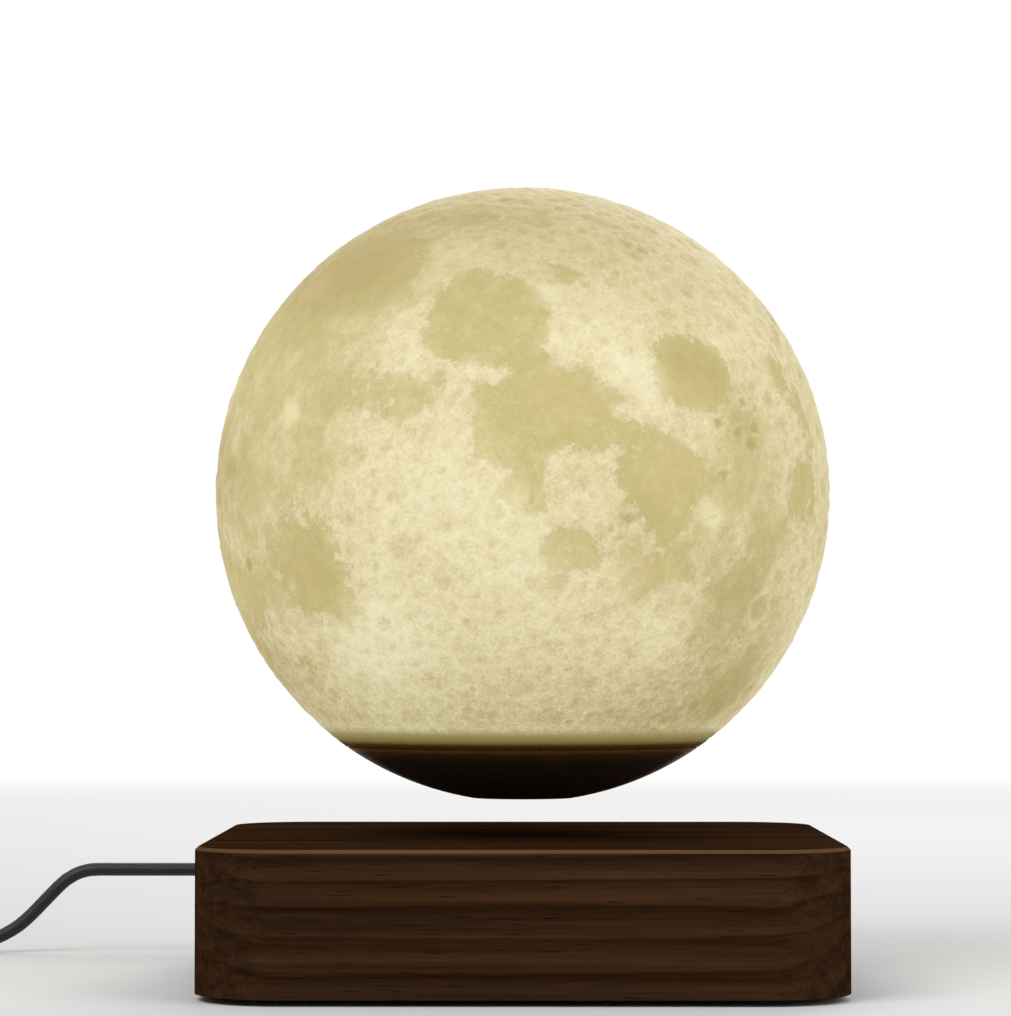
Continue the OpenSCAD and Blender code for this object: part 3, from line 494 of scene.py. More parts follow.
streaks = noise(stretched(place, 0.02, 1, 1), 0.35, 6, 0.65)
fibres = noise(stretched(place, 0.025, 1, 1), 2.4, 4, 0.7)
pores = ramp(cells(stretched(place, 0.06, 1, 1), 1.1), [(0.06, 1.0), (0.2, 0.0)])
shade = added(times(rings, 0.22), times(streaks, 0.75), times(fibres, 0.30))
wood_color = ramp(shade, [(0.36, (0.011, 0.005, 0.0025)), (0.56, (0.025, 0.0115, 0.005)),
                          (0.72, (0.044, 0.0205, 0.009)), (0.9, (0.068, 0.033, 0.015))])
wood_color = mixed(times(pores, 0.7), wood_color, PORE_COLOR)
# Painted highlight: the edges between the top and the sides, which face neither up nor level, are
# paler, as if they caught the light.
painted_edge_highlight = ramp(facing["Z"], [(0.35, 0.0), (0.5, 0.7), (0.93, 0.7), (0.985, 0.0)])
feed(mixed(painted_edge_highlight, wood_color, EDGE_HIGHLIGHT_COLOR), shader, "Base Color")
feed(ramp(streaks, [(0.3, 0.62), (0.7, 0.76)]), shader, "Roughness")
raise_surface(shader, minus(times(fibres, 0.4), pores), 0.09)
print("walnut", len(shader.id_data.nodes), "nodes")

# %% [markdown]
# ## The moon's surface
# The globe is printed from the moon's height map, so its dark plains and bright rayed craters lie
# where they do on the moon. Each place below is a latitude and a longitude in degrees. A plain is
# an outline of such places, or a round with its radius. Writing the places down keeps the pattern
# on the ball itself, so it is right from every side, and the same numbers drive both the relief
# and the colours. Sharp plains come first, then those with ragged shores, then thin veils of dark
# ground.

# %% Where the plains lie
GLOBE_R, GLOBE_Z, SEAM_R, WALL = 75.0, 118.0, 43.0, 1.8
MOON_TURN, MOON_NOD = -25.0, -8.0
OUTLINES = {
    "serenity": [(33.5, 11.5), (34, 14), (33, 17), (31.5, 21), (30.5, 26), (28, 27.5), (25.5, 29),
        (22, 30), (19, 29), (15.5, 28.5), (12, 30), (10, 28), (11, 24), (12.5, 20), (13, 17),
        (13.5, 13), (14.5, 10), (17, 7.5), (20, 5.5), (23, 7), (26, 8), (28, 8), (30.5, 9.5)],
    "tranquillity": [(12.5, 24), (12.5, 30), (12, 34), (11.5, 37.5), (9, 39), (8, 40.5), (7, 44),
        (5.8, 44.5), (5.5, 41.5), (3, 42), (2.5, 46), (2.5, 49), (0, 49), (-1, 45), (-2.5, 41),
        (-3, 37), (-3, 33), (-4.5, 30), (-8, 29.5), (-12, 29), (-14.5, 28.5), (-13.5, 24),
        (-11, 21), (-9, 23), (-6, 22.5), (-5, 19), (-4, 17), (0, 16), (4, 15.8), (8, 16), (10, 17),
        (9.5, 21)],
    "plenty": [(3, 44), (2.5, 48), (0.5, 51.5), (-1.5, 54.5), (-3, 58.5), (-5.5, 61), (-8, 60.5),
        (-10, 58), (-12, 57), (-14.5, 56), (-17, 54.5), (-19.5, 53), (-18, 50), (-16, 48.5),
        (-13.5, 47), (-11.5, 45.5), (-9.5, 43.5), (-8, 41), (-5.5, 41), (-3, 43), (-1, 42.5)],
    "nectar": [(-15.7, 31.5), (-15.5, 35), (-17, 38), (-19, 39.3), (-22, 39.6), (-24.5, 39),
        (-24, 36), (-24.2, 33), (-22.5, 29.5), (-20, 28.5), (-18, 29.5), (-16.5, 30.5)],
    "crises": [(17, 50.5), (19.5, 53), (20.5, 57), (20.3, 61), (18.5, 64.5), (16, 66.8), (13, 66.5),
        (10.5, 65.5), (7.8, 63.5), (6.2, 60), (5.8, 56), (7, 52.5), (8.5, 50.3), (11, 49.8),
        (14, 49.8)],
    "dreams": [(35, 31), (34.5, 35), (32, 36.5), (30.5, 35), (31, 31.5)]}
SOFT = {
    "showers": [(47, -14), (44.5, -6), (43.5, -1.5), (41, 1), (37, 1.5), (34, 0), (31, -4),
        (28.5, -9), (26, -14), (23, -17), (22, -22), (25, -28), (30, -33), (36, -36), (42, -30),
        (46, -22)],
    "vapours": [(13, 1), (11.5, 5), (9, 8.5), (6, 8), (4.5, 3), (5.5, -2), (5, -8), (7, -12),
        (10, -10), (12, -3)],
    "clouds": [(-9, -23), (-9.6, -18), (-10.5, -14), (-13, -11), (-17, -9.5), (-20, -9),
        (-24, -10.5), (-28, -10), (-31, -11), (-33.5, -15), (-32.5, -22), (-30, -26.5), (-24, -30),
        (-19, -32.5), (-14.5, -32.5), (-10, -30)],
    "moisture": [(-18, -45), (-18, -40), (-21, -37), (-26, -36), (-29, -37), (-31, -42), (-31, -48),
        (-27, -50), (-22, -48)],
    "marsh": [(-33.5, -31), (-34, -28), (-37, -27), (-39.5, -30), (-38.5, -35), (-36, -37),
        (-34, -35)],
    "margin": [(17, 82), (15.5, 86), (14, 90), (10, 93), (6, 95), (3, 94), (6, 88), (10, 85),
        (13, 83)],
    "east edge": [(2, 84), (3, 89), (-1, 94), (-8, 94), (-12, 90), (-11, 84), (-6, 81.5),
        (-2, 81.5)],
    "little south": [(-20, 52), (-20, 56), (-23, 56), (-25, 52), (-26, 46), (-24, 46), (-22, 48)]}
VEILED = {
    "rains": [(43, -1), (33, 2), (28, 3), (25, -2), (18, -5.5), (13.5, -12), (13, -22.5), (24, -34),
        (36, -36), (50, -35), (48, -15)],
    "west edge": [(40, -52), (20, -46), (0, -42), (-15, -42), (-30, -50), (-45, -70), (-50, -90),
        (-20, -104), (20, -104), (46, -96)],
    "storms": [(52, -55), (45, -38), (36, -30), (28, -22), (22, -12), (14, -7), (6, -6), (-2, -7),
        (-8, -11), (-12, -20), (-24, -22), (-34, -27), (-33, -38), (-22, -50), (-14, -54),
        (-4, -66), (12, -72), (30, -72), (44, -68)],
    "cold": [(58, -35), (54, -10), (53, 15), (52.5, 30), (47.5, 31), (47, 18), (49, 0), (50, -20),
        (53, -38)],
    "waves": [(9, 64), (7, 72), (1, 73), (-2, 67), (2, 63)],
    "far plenty": [(-2, 61), (1, 71), (-2, 80), (-15, 86), (-28, 88), (-36, 74), (-31, 60),
        (-24, 58), (-27, 46), (-20, 44), (-20, 55), (-9, 60)],
    "south sea": [(-28, 84), (-34, 100), (-46, 104), (-54, 92), (-50, 72), (-42, 78), (-36, 82)]}
ROUND_PLAINS = [(-25.8, 32.3, 1.7), (47, -8, 1.5), (-22.5, 57.5, 1.5), (27, 148, 5.5),
                (24, 152, 3.5), (-34, 163, 5), (-37, 167, 3.5), (-19.4, -93, 6.5),
                (-20.4, 129, 3.2), (-36, -151, 5.5), (-33, 172, 2.5), (57, 81, 3.5), (-12, -132, 2),
                (6, 141, 2), (12, -158, 1.8), (-58, 137, 3), (41, 121, 2), (-45, 150, 3),
                (-52, -165, 3.5), (-62, 165, 4), (34, 98, 2.4), (-2, 113, 2)]
outlined = len(OUTLINES) + len(SOFT) + len(VEILED)
print(outlined, "outlined plains,", len(ROUND_PLAINS), "round ones")

# %% [markdown]
# The rest are round places with their reach in degrees. A splash also has its strength: bright
# above zero, dull below it. At a tanned place a plain turns from olive to tan. A rayed place
# throws bright spokes, and a named crater is a bowl with a rim.

# %% Where the splashes, the tanned and rayed places and the named craters lie
SPLASHES = [(7, -21.8, 2.4, 1.6), (23.5, -14.5, 2.6, .5), (22.5, -8, 3.2, .5), (17.5, -23, 2, .4),
            (1, -30, 2.5, .4), (-3, -23, 2, .45), (18, 1, 4, .7), (14, 4, 3, .5), (25, 3, 3.5, .45),
            (36, 6, 5, .5), (38, 13, 5, .4), (24, 39, 9, .55), (10, 47.5, 5, 1), (14, 44, 4, .6),
            (28.5, 29.5, 2.4, .8), (17, 33, 3.5, .5), (-8, 5, 13, .5), (-6, 14, 8, .45),
            (-17, 18, 9, .45), (-13, 35, 3.5, .35), (-21, 24.5, 4, .45), (-38, -12, 7, .75),
            (-30, -3, 8, .35), (-34, 54, 6.5, .55), (-26, 35, 4, .4), (-30, 24, 8, .25),
            (-12.5, 61.4, 2.3, 1.5), (-36, -10, 16, .35), (-42, 20, 18, .3), (-30, 2, 12, .2),
            (-15.5, 28.5, 1.2, .7), (-4.6, 31.6, 1.8, .7), (11, 7.3, 1.2, .9),
            (12.3, 14.8, 1.6, .9), (11.6, 18.6, 1.4, .6), (11.2, 22, 1.1, .5),
            (-23.5, -26.5, 1.2, .6), (-27, -38, 1.2, .4), (-25, 44, 3.5, .4), (6, 57, 4, .4),
            (20, 66, 3, .5), (25, 74, 7, .35), (16, -36, 3, .3), (5, -43, 2, .45), (-2, 60, 2, .3),
            (3.6, 42, 1.3, .6), (-12, 40, 2.5, .4), (5, 96, 4, .5), (-20, 100, 5, .4),
            (-6, 129, 5, .6), (36, 113, 5, .6), (-10, -155, 5, .5), (44, -178, 4, .6),
            (-10, 170, 14, .4), (20, -150, 14, .4), (-50, -130, 9, .4), (0, -100, 6, .4),
            (-30, 75, 15, -.5), (-50, 74, 13, -.9), (-40, 88, 12, -.7), (57, 12, 14, -1),
            (60, 60, 14, -.8), (44, -36, 15, -1), (0, -55, 14, -.9), (5, 102, 15, -.6),
            (30, 95, 12, -.5), (-15, 104, 12, -.6), (-45, -45, 12, -.6), (-54, 10, 9, -.55),
            (-52, 40, 9, -.5), (-45, 22, 10, -.2), (-33, 12, 7, -.2), (-11.5, 24, 3, .5),
            (-36, -54, 8, -.6), (-15, 45, 5, -.5), (-36, -52, 10, -.4), (13, 58, 7, -.7),
            (37, -14, 11, -.6), (-24, -20, 9, -.6), (0, -47, 10, -.5), (5, 68, 3, -.7),
            (43, 52, 4, -.5), (36, 42, 4, -.4), (-3, 75, 6, -.35), (-22, 68, 7, -.4),
            (-17, 75, 8, -.2), (47, 22, 6, -.3), (-25, 3, 5, -.3), (-20, 5, 4, -.25),
            (-57, 62, 6, -.6), (-20, 150, 12, -.4), (10, 130, 10, -.3), (40, -140, 12, -.3)]
TANNED = [(5.9, 33.2, 5), (7.7, 29, 3.5), (5.2, 37.6, 3), (-4.6, 52.9, 5.5), (-8, 52, 4),
          (9.7, 58.2, 4.5), (35.5, -28.6, 5), (-4.3, -47, 5), (6, -47, 5), (2.4, -12.1, 2.5),
          (-20.9, -21, 3), (-23.8, 49, 2), (-22, -50, 6), (27, 148, 4), (-20, -93, 5)]
RAYED = [(-38, -12, 9), (7, -22.5, 5), (8.1, -38, 4), (23.7, -47.4, 4), (12, 45.5, 4),
         (-13, 61.5, 2.5), (-34, 53, 4.5), (-5.8, 129, 5), (36, 113, 5), (-10, -155, 5),
         (5, 96, 4)]
CRATERS = [(-38, -12, 1.2), (7, -21.8, 0.7), (-12.5, 61.4, 0.8), (-14.4, 44.3, 1.1), (-16, 41, .9),
           (-17.5, 43, .9), (-26, 37, .9), (48, 51.5, 1.3), (42.5, 50.5, 1.7), (41, 55, 1.4),
           (39.3, 61, 1.4), (33.5, 45.5, .8), (31, 49, .8), (30, 37.5, 1.2), (11, 76.5, 1.8),
           (10.5, 79, 1.2), (9, 68.5, 1.2), (8.3, 72, 1), (4.3, 62.3, 1.1), (3, 66.5, 1.2),
           (1.5, 70, 1.6), (4.6, 71, 1.3), (-4.7, 63.5, 1), (-43, 84, 1.6), (-49, 74.5, 1.3),
           (-48.5, 79, 1.5), (-53, 72, 1.4), (-55, 67, 1.1), (-55.5, 70.5, 1.2), (-28.5, 62.3, 1),
           (-52, 68, 1), (-46, 61, .9), (-44, 66, .9), (-47, 53, .8), (-52, 51, 1), (-53, 45, 1.1),
           (-55, 39.5, .9), (-52, 9, 1.2), (-47, 12, .9), (-44, 2, .9), (-33, 13, .9), (-28, -1, 1),
           (-11.4, 26.4, 0.7), (-9.3, -2, 1.1), (-5.5, -1.9, 0.8), (-32.5, -5.5, 1.7),
           (-45, -32, 1.7), (-42, -27, 1.2), (-17.5, -40, 1.7), (-5.5, -68, 2.6), (50, 17, 1.4),
           (45, 40, 1.3), (-20.4, 129, 3.1), (-4, -157, 6.5), (-20, 149, 4.3), (5.7, 141, 5.1),
           (51, 164, 3.8), (45, -152, 3.6), (58, -146, 5), (2.6, -129, 6.6), (-36, -151, 6.5),
           (-57, 163, 5), (27, 90, 2.2), (31.8, 99.8, 2.6), (-58, 137, 5.1), (-27, 81, 2.6),
           (-42, 102, 2.4), (-8, 106, 2), (16, 112, 2.6), (-28, 118, 2), (24, 128, 2.4),
           (-12, 142, 2), (14, 160, 3), (-14, -172, 2.6), (32, -168, 3), (-24, -138, 2.2),
           (10, -112, 2.6), (-42, -118, 2.8), (30, -102, 2.4), (-30, -78, 2), (22, -82, 2)]
print(len(SPLASHES), "splashes,", len(CRATERS), "named craters")

# %% [markdown]
# ## From places on the moon to points on the ball
# The lamp's globe stands turned a little aside and nodded forwards, so every place is turned with
# it. Noise gives the ragged look: each point's value is a smooth mix of random values at the
# eight corners of the cell that it lies in, and several sizes of cell are added up.

# %% Directions and noise on the ball
SCRAMBLE = np.array([73856093, 19349663, 83492791])
SEED_STEP, SPREAD, LOW_BITS = 7919, 2654435761, 0xFFFFFFFF


def moon_direction(latitude, longitude):
    """The direction of a place on the moon, as the globe is turned in the lamp."""
    lat, lon = math.radians(latitude), math.radians(longitude)
    place = Vector((math.cos(lat) * math.sin(lon), -math.cos(lat) * math.cos(lon), math.sin(lat)))
    turned_place = Matrix.Rotation(math.radians(MOON_TURN), 3, "Z") @ place
    return np.array(Matrix.Rotation(math.radians(MOON_NOD), 3, "X") @ turned_place)


def grains(points, size, seed):
    """Smooth noise from 0 to 1 at points, in grains of a size."""
    cell = points / size
    low = np.floor(cell).astype(np.int64)
    blend = cell - low
    blend = blend * blend * (3 - 2 * blend)
    total = np.zeros(len(points))
    for corner in np.ndindex(2, 2, 2):
        key = (low + corner) @ SCRAMBLE + seed * SEED_STEP
        value = ((key * SPREAD) & LOW_BITS) / LOW_BITS
        value = ((value * 9301.7 + 0.31) % 1.0)
        total += value * np.prod(np.where(corner, blend, 1 - blend), axis=1)
    return total


def fractal(points, size, seed, octaves=4):
    """Noise of several sizes added up: each next one half as large and half as strong."""
    total, weight = np.zeros(len(points)), 0
    for octave in range(octaves):
        total += grains(points, size / 2 ** octave, seed + octave) / 2 ** octave
        weight += 1 / 2 ** octave
    return total / weight

# %% [markdown]
# The globe could start as a ready-made sphere, but it is open at its seam and has a wall. So it
# is built from rings of points, from the seam to the top: finely outside, where its relief lies,
# and coarsely inside.

# %% The globe's rings of points
RINGS, SPOKES, INNER_RINGS = 184, 440, 22
COAST_SHAKE = 0.05


def ball_rings(radius, rings):
    """Rings of points from the seam to the top of a ball about the globe's centre."""
    seam_angle = math.pi - math.asin(SEAM_R / GLOBE_R)
    spoke = np.arange(SPOKES) * 2 * math.pi / SPOKES
    points = []
    for ring in range(rings):
        polar = seam_angle * (1 - ring / rings)
        points.append(np.stack([radius * math.sin(polar) * np.cos(spoke),
                                radius * math.sin(polar) * np.sin(spoke),
                                np.full(SPOKES, radius * math.cos(polar))], 1))
    return np.vstack(points + [[[0, 0, radius]]])


outer = ball_rings(GLOBE_R, RINGS)
inner = ball_rings(GLOBE_R - WALL, INNER_RINGS)
directions = outer / np.linalg.norm(outer, axis=1)[:, None]
shake = [0.5 * fractal(outer, 16, 60 + 9 * axis, 2)
         + 0.5 * fractal(outer, 7, 90 + 9 * axis, 3) - 0.5 for axis in range(3)]
shaken = directions + COAST_SHAKE * np.stack(shake, 1)
shaken /= np.linalg.norm(shaken, axis=1)[:, None]
print(len(outer), "points outside,", len(inner), "inside")

# %% [markdown]
# A coast on the moon is never a clean curve. Each point is first shaken by smooth noise, then its
# depth inside every outline is measured in degrees, on a flat sheet laid against the ball at that
# plain. A shore is a few degrees wide: narrow for the sharp plains, wide for the ragged and the
# veiled ones.

# %% Measure the plains
SHARP_SHORE, RAGGED_SHORE, VEILED_SHORE = 4, 8, 14
FAR_OUT = -99.0
TINY = 1e-9


def depth_inside(corners):
    """How many degrees each shaken point lies inside an outline, negative outside."""
    places = np.array([moon_direction(*corner) for corner in corners])
    middle = places.sum(0) / np.linalg.norm(places.sum(0))
    side = np.cross(middle, [0.3, 0.2, 0.9])
    side /= np.linalg.norm(side)
    sheet = np.stack([side, np.cross(middle, side)], 1)

    def laid_flat(ways):
        away = np.degrees(np.arccos(np.clip(ways @ middle, -1, 1)))
        level = ways @ sheet
        return level / (np.linalg.norm(level, axis=1)[:, None] + TINY) * away[:, None]

    points, corners = laid_flat(shaken), laid_flat(places)
    nearest, inside = np.full(len(points), 1e9), np.zeros(len(points), bool)
    for a, b in zip(corners, np.roll(corners, -1, 0)):
        edge = b - a
        along = np.clip((points - a) @ edge / (edge @ edge), 0, 1)
        nearest = np.minimum(nearest, np.linalg.norm(points - a - along[:, None] * edge, axis=1))
        crossing = (a[1] > points[:, 1]) != (b[1] > points[:, 1])
        meets = a[0] + (points[:, 1] - a[1]) * edge[0] / (edge[1] or TINY)
        inside ^= crossing & (points[:, 0] < meets)
    return np.where(inside, nearest, -nearest)


def share_inside(corners, shore):
    """From 0 outside an outline to 1 inside it, over the width of its shore."""
    return np.clip(0.5 + depth_inside(corners) / shore, 0, 1)


def angles_to(latitude, longitude, ways=directions):
    """How many degrees each point lies from a place."""
    return np.degrees(np.arccos(np.clip(ways @ moon_direction(latitude, longitude), -1, 1)))


depth = np.full(len(outer), FAR_OUT)
for corners in OUTLINES.values():
    depth = np.maximum(depth, depth_inside(corners))
for latitude, longitude, size in ROUND_PLAINS:
    depth = np.maximum(depth, size - angles_to(latitude, longitude, shaken))
plain = np.clip(0.5 + depth / SHARP_SHORE, 0, 1)
patches = fractal(outer, 17, 41, 4) - 0.5 + 0.6 * (fractal(outer, 5, 47, 3) - 0.5)
for corners in SOFT.values():
    share = share_inside(corners, RAGGED_SHORE)
    ragged_share = np.clip(0.95 * share + 1.1 * patches, 0, 1)
    plain = np.maximum(plain, np.where(share > 0, ragged_share, 0))
veil = np.zeros(len(outer))
for corners in VEILED.values():
    share = share_inside(corners, VEILED_SHORE)
    veil = np.maximum(veil, np.clip(share * (0.72 + 2.4 * patches), 0, 1))
print("plains cover", round(float((plain > 0.52).mean()), 2), "of the globe")

# %% [markdown]
# Splashes are round patches that fade outwards. Around young craters, bright rays run out along
# great circles: noise read by compass direction alone, and not by distance, gives such spokes.
# The named craters are bowls with a rim. The relief is in millimetres, and most of it is cut
# inwards, so that the globe keeps its size.

# %% Measure the splashes, rays and craters
RAY_GRAIN, RAY_STRENGTH = 0.42, 0.55
RIM_AT, RIM_WIDE, RIM_HIGH_MM = 1.15, 0.25, 0.1
DEEPEST_MM, WIDE_CRATER = 0.42, 3.5


def spot(latitude, longitude, reach):
    """A round patch: 1 in its middle, fading outwards."""
    return np.exp(-(angles_to(latitude, longitude, shaken) / reach) ** 2 * 0.9)


tone, tan = np.zeros(len(outer)), np.zeros(len(outer))
for latitude, longitude, reach, strength in SPLASHES:
    tone += strength * spot(latitude, longitude, reach)
for latitude, longitude, reach in RAYED:
    away, centre = angles_to(latitude, longitude), moon_direction(latitude, longitude)
    flat = directions - np.outer(directions @ centre, centre)
    flat /= np.linalg.norm(flat, axis=1)[:, None] + TINY
    rays = np.clip(grains(flat * 3 + centre * 7, RAY_GRAIN, 29) * 2.4 - 1.1, 0, 1)
    tone += RAY_STRENGTH * rays * np.exp(-away / (reach * 1.7)) * np.clip(away / 2, 0, 1)
tone = np.clip(tone, -1.2, 1.3)
for place in TANNED:
    tan = np.maximum(tan, spot(*place))

ragged = fractal(outer, 22, 3, 5) - 0.5
relief = -0.2 - 0.2 * plain + 0.25 * ragged * (1 - plain)
for latitude, longitude, size in CRATERS:
    far = angles_to(latitude, longitude) / size
    bowl = np.clip(1 - far ** 2, 0, 1) ** 0.6
    rim = np.exp(-((far - RIM_AT) / RIM_WIDE) ** 2)
    relief += RIM_HIGH_MM * rim - min(DEEPEST_MM, 0.16 + 0.05 * size) * bowl
    tone += 0.5 * rim - 0.9 * bowl * (1 if size < WIDE_CRATER else 0.4)
print("relief from", round(float(relief.min()), 2), "to", round(float(relief.max()), 2), "mm")

# %% [markdown]
# The many small craters follow a rule, so Geometry Nodes make them: points are scattered over the
# ball, no two closer than their spacing, and each point of the mesh sinks or rises with its
# distance to the nearest one. Three sizes of crater are added up. The plains hold few craters, so
# their own value weakens them there. Only the outside moves: the inside of the shell stays
# smooth. The tree also keeps how deep each point lies in its crater, for the finish to darken the
# floors and lighten the rims.

# %% Helpers for trees
def tree_with(name, sizes, whole_numbers=()):
    """A Geometry Nodes tree with a finish, sizes and whole numbers as its named inputs."""
    tree = bpy.data.node_groups.new(name, "GeometryNodeTree")
    tree.interface.new_socket("Geometry", in_out="OUTPUT", socket_type="NodeSocketGeometry")
    kinds = {"Geometry": "Geometry", "Finish": "Material", **dict.fromkeys(whole_numbers, "Int"),
             **dict.fromkeys(sizes, "Float")}
    for label, kind in kinds.items():
        tree.interface.new_socket(label, in_out="INPUT", socket_type="NodeSocket" + kind)
    return tree, tree.nodes.new("NodeGroupInput").outputs


def end_tree(tree, sizes, geometry):
    """Ends a tree with real geometry, no instances, that carries its finish."""
    real = wire("GeometryNodeRealizeInstances", {"Geometry": geometry}).outputs[0]
    done = wire("GeometryNodeSetMaterial", {"Geometry": real, "Material": sizes["Finish"]})
    wire("NodeGroupOutput", {"Geometry": done.outputs[0]})
    print(tree.name, len(tree.nodes), "nodes")
    return tree


def grown(piece, tree, finish, values):
    """Runs a tree on a piece and keeps the result as the piece's own plain mesh."""
    values = {"Finish": FINISHES[finish], **values}
    modifier = piece.modifiers.new("maker", "NODES")
    modifier.node_group = tree
    for item in tree.interface.items_tree:
        if item.item_type == "SOCKET" and item.in_out == "INPUT" and item.name in values:
            modifier[item.identifier] = values[item.name]
    bpy.context.view_layer.update()
    depsgraph = bpy.context.evaluated_depsgraph_get()
    made = bpy.data.meshes.new_from_object(piece.evaluated_get(depsgraph), depsgraph=depsgraph,
                                           preserve_all_data_layers=True)
    piece.modifiers.clear()
    old = piece.data
    piece.data = made
    bpy.data.meshes.remove(old)
    return piece

# %% Crater tree
POINTS_AT_MOST = 4e6  # in a square metre, before those too close are dropped
EDGE_AT, EDGE_WIDE = 1.05, 0.3
LEFT_ON_PLAINS = 0.85


def crater_tree(words):
    """Sinks craters of several sizes into a ball. Each word names the inputs of one size."""
    labels = [word + part for word in words for part in (" radius", " depth", " spacing")]
    tree, sizes = tree_with("moon_craters", ["Rim share", *labels], [w + " seed" for w in words])

    def carried(label):
        return wire("GeometryNodeInputNamedAttribute", {"Name": label}, tree,
                    data_type="FLOAT").outputs[0]

    heights, shades = [], []
    for word in words:
        scattered = wire("GeometryNodeDistributePointsOnFaces", {
            "Mesh": sizes["Geometry"], "Distance Min": sizes[word + " spacing"],
            "Density Max": POINTS_AT_MOST, "Seed": sizes[word + " seed"]},
            distribute_method="POISSON")
        near = wire("GeometryNodeProximity", {"Geometry": scattered.outputs["Points"]},
                    target_element="POINTS").outputs["Distance"]
        far = maths("DIVIDE", near, sizes[word + " radius"])
        bowl = minus(1.0, times(far, far), clamp=True)
        edge = maths("ABSOLUTE", minus(far, EDGE_AT))
        rim = times(minus(1.0, maths("DIVIDE", edge, EDGE_WIDE), clamp=True), sizes["Rim share"])
        shades.append(minus(rim, bowl))
        heights.append(times(shades[-1], sizes[word + " depth"]))
    rough = minus(1.0, times(carried("plain"), LEFT_ON_PLAINS))
    total = times(times(added(*heights), rough), carried("outside"))
    total = added(total, times(carried("relief"), MM))
    kept = wire("GeometryNodeStoreNamedAttribute", {
        "Geometry": sizes["Geometry"], "Name": "pits", "Value": added(*shades)},
        data_type="FLOAT", domain="POINT").outputs[0]
    normal = tree.nodes.new("GeometryNodeInputNormal").outputs[0]
    offset = wire("ShaderNodeVectorMath", {0: normal, "Scale": total}, operation="SCALE").outputs[0]
    pitted = wire("GeometryNodeSetPosition", {"Geometry": kept, "Offset": offset}).outputs[0]
    return end_tree(tree, sizes, pitted)

# %% [markdown]
# The finish of the globe: the shell is thin pale plastic that glows from inside. Most of the
# light that leaves it is its own, so the pattern is fed to the glow, and a weaker share of it to
# the plastic's colour. The highlands are speckled cream. The plains are smooth, a shade darker
# and olive, with tan drifts at the tanned places. Towards the top, far from the light chips, both
# colour and glow are darker: painted shade. Just over the seam the bonded neck ring stands behind
# the shell and holds back the light: first an olive band shows, then a brown one.

# %% Moon finish: grain and pits
shader, place = new_finish("moon_plastic", (0.6, 0.52, 0.3), 0.6, {"Specular IOR Level": 0.2})
BLACK = (0, 0, 0, 1)
PIT_RING = [(0.08, 0.2), (0.2, 0.5), (0.27, 1.0), (0.38, 0.5), (0.6, 0.45)]


def read(label):
    """A value that the mesh carries at its points."""
    return wire("ShaderNodeAttribute", tree=place.id_data, attribute_name=label).outputs["Fac"]


def centred(value, strength):
    """A value from 0 to 1 turned to one about zero, times a strength."""
    return times(minus(value, 0.5), strength)


mottle = noise(place, 0.24, 7, 0.66)
coast = noise(place, 0.42, 5, 0.62)
speckle = noise(place, 1.0, 3, 0.62)
dust = noise(place, 2.6, 2, 0.6)
rubble = centred(noise(place, 1.5, 4, 0.7), 0.75)
swirl = wire("ShaderNodeVectorMath", {0: noise(place, 0.5, 2, 0.5, "Color"), "Scale": 1.6 * MM},
             operation="SCALE").outputs[0]
swirled = vectors("ADD", place, swirl)
pits, small_pits = cells(swirled, 0.33), cells(swirled, 0.75)
ridges = ramp(cells(swirled, 0.5, "DISTANCE_TO_EDGE"), [(0.0, 1.0), (0.1, 0.0)])

# %% Moon finish: highlands and plains
SOUTH_FROM, SOUTH_FULL = 105, 62
southern = height_share(place, SOUTH_FROM, SOUTH_FULL)
bright = added(0.5, times(read("tone"), 0.2), centred(mottle, 0.25), times(rubble, southern),
               centred(speckle, 0.45), centred(dust, 0.4), times(ridges, 0.05),
               centred(ramp(pits, PIT_RING), 0.17), centred(ramp(small_pits, PIT_RING), 0.18),
               times(read("pits"), 0.08))
highland = ramp(bright, [(0.10, (0.50, 0.415, 0.195)), (0.36, (0.66, 0.565, 0.31)),
                         (0.56, (0.79, 0.695, 0.41)), (0.80, (0.90, 0.825, 0.56))])
low = added(0.5, times(read("tone"), 0.36), centred(mottle, 0.6), centred(speckle, 0.3),
            centred(dust, 0.22))
lowland = ramp(low, [(0.1, (0.48, 0.39, 0.155)), (0.5, (0.595, 0.51, 0.222)),
                     (0.9, (0.80, 0.72, 0.41))])
tanned = ramp(added(read("tan"), centred(coast, 0.6)), [(0.3, 0.0), (0.85, 0.8)])
lowland = mixed(tanned, lowland, mixed(0.5, lowland, (0.67, 0.50, 0.225, 1)))
plain_share = ramp(added(read("plain"), centred(coast, 1.7), centred(speckle, 0.9)),
                   [(0.40, 0.0), (0.60, 1.0)])
veil_share = times(ramp(added(read("veil"), centred(coast, 0.8)), [(0.15, 0.0), (0.75, 1.0)]), 0.85)
surface = mixed(maths("MAXIMUM", plain_share, veil_share), highland, lowland)

# %% Moon finish: painted shade at the top, bands over the seam, and the glow
TOP_FROM, TOP_FULL, TOP_SHADE_MOST = 152, 190, 0.95
SEAM_FROM, SEAM_FULL = 56.5, 61.5
LIT_SHARE, GLOW = 0.34, 0.67
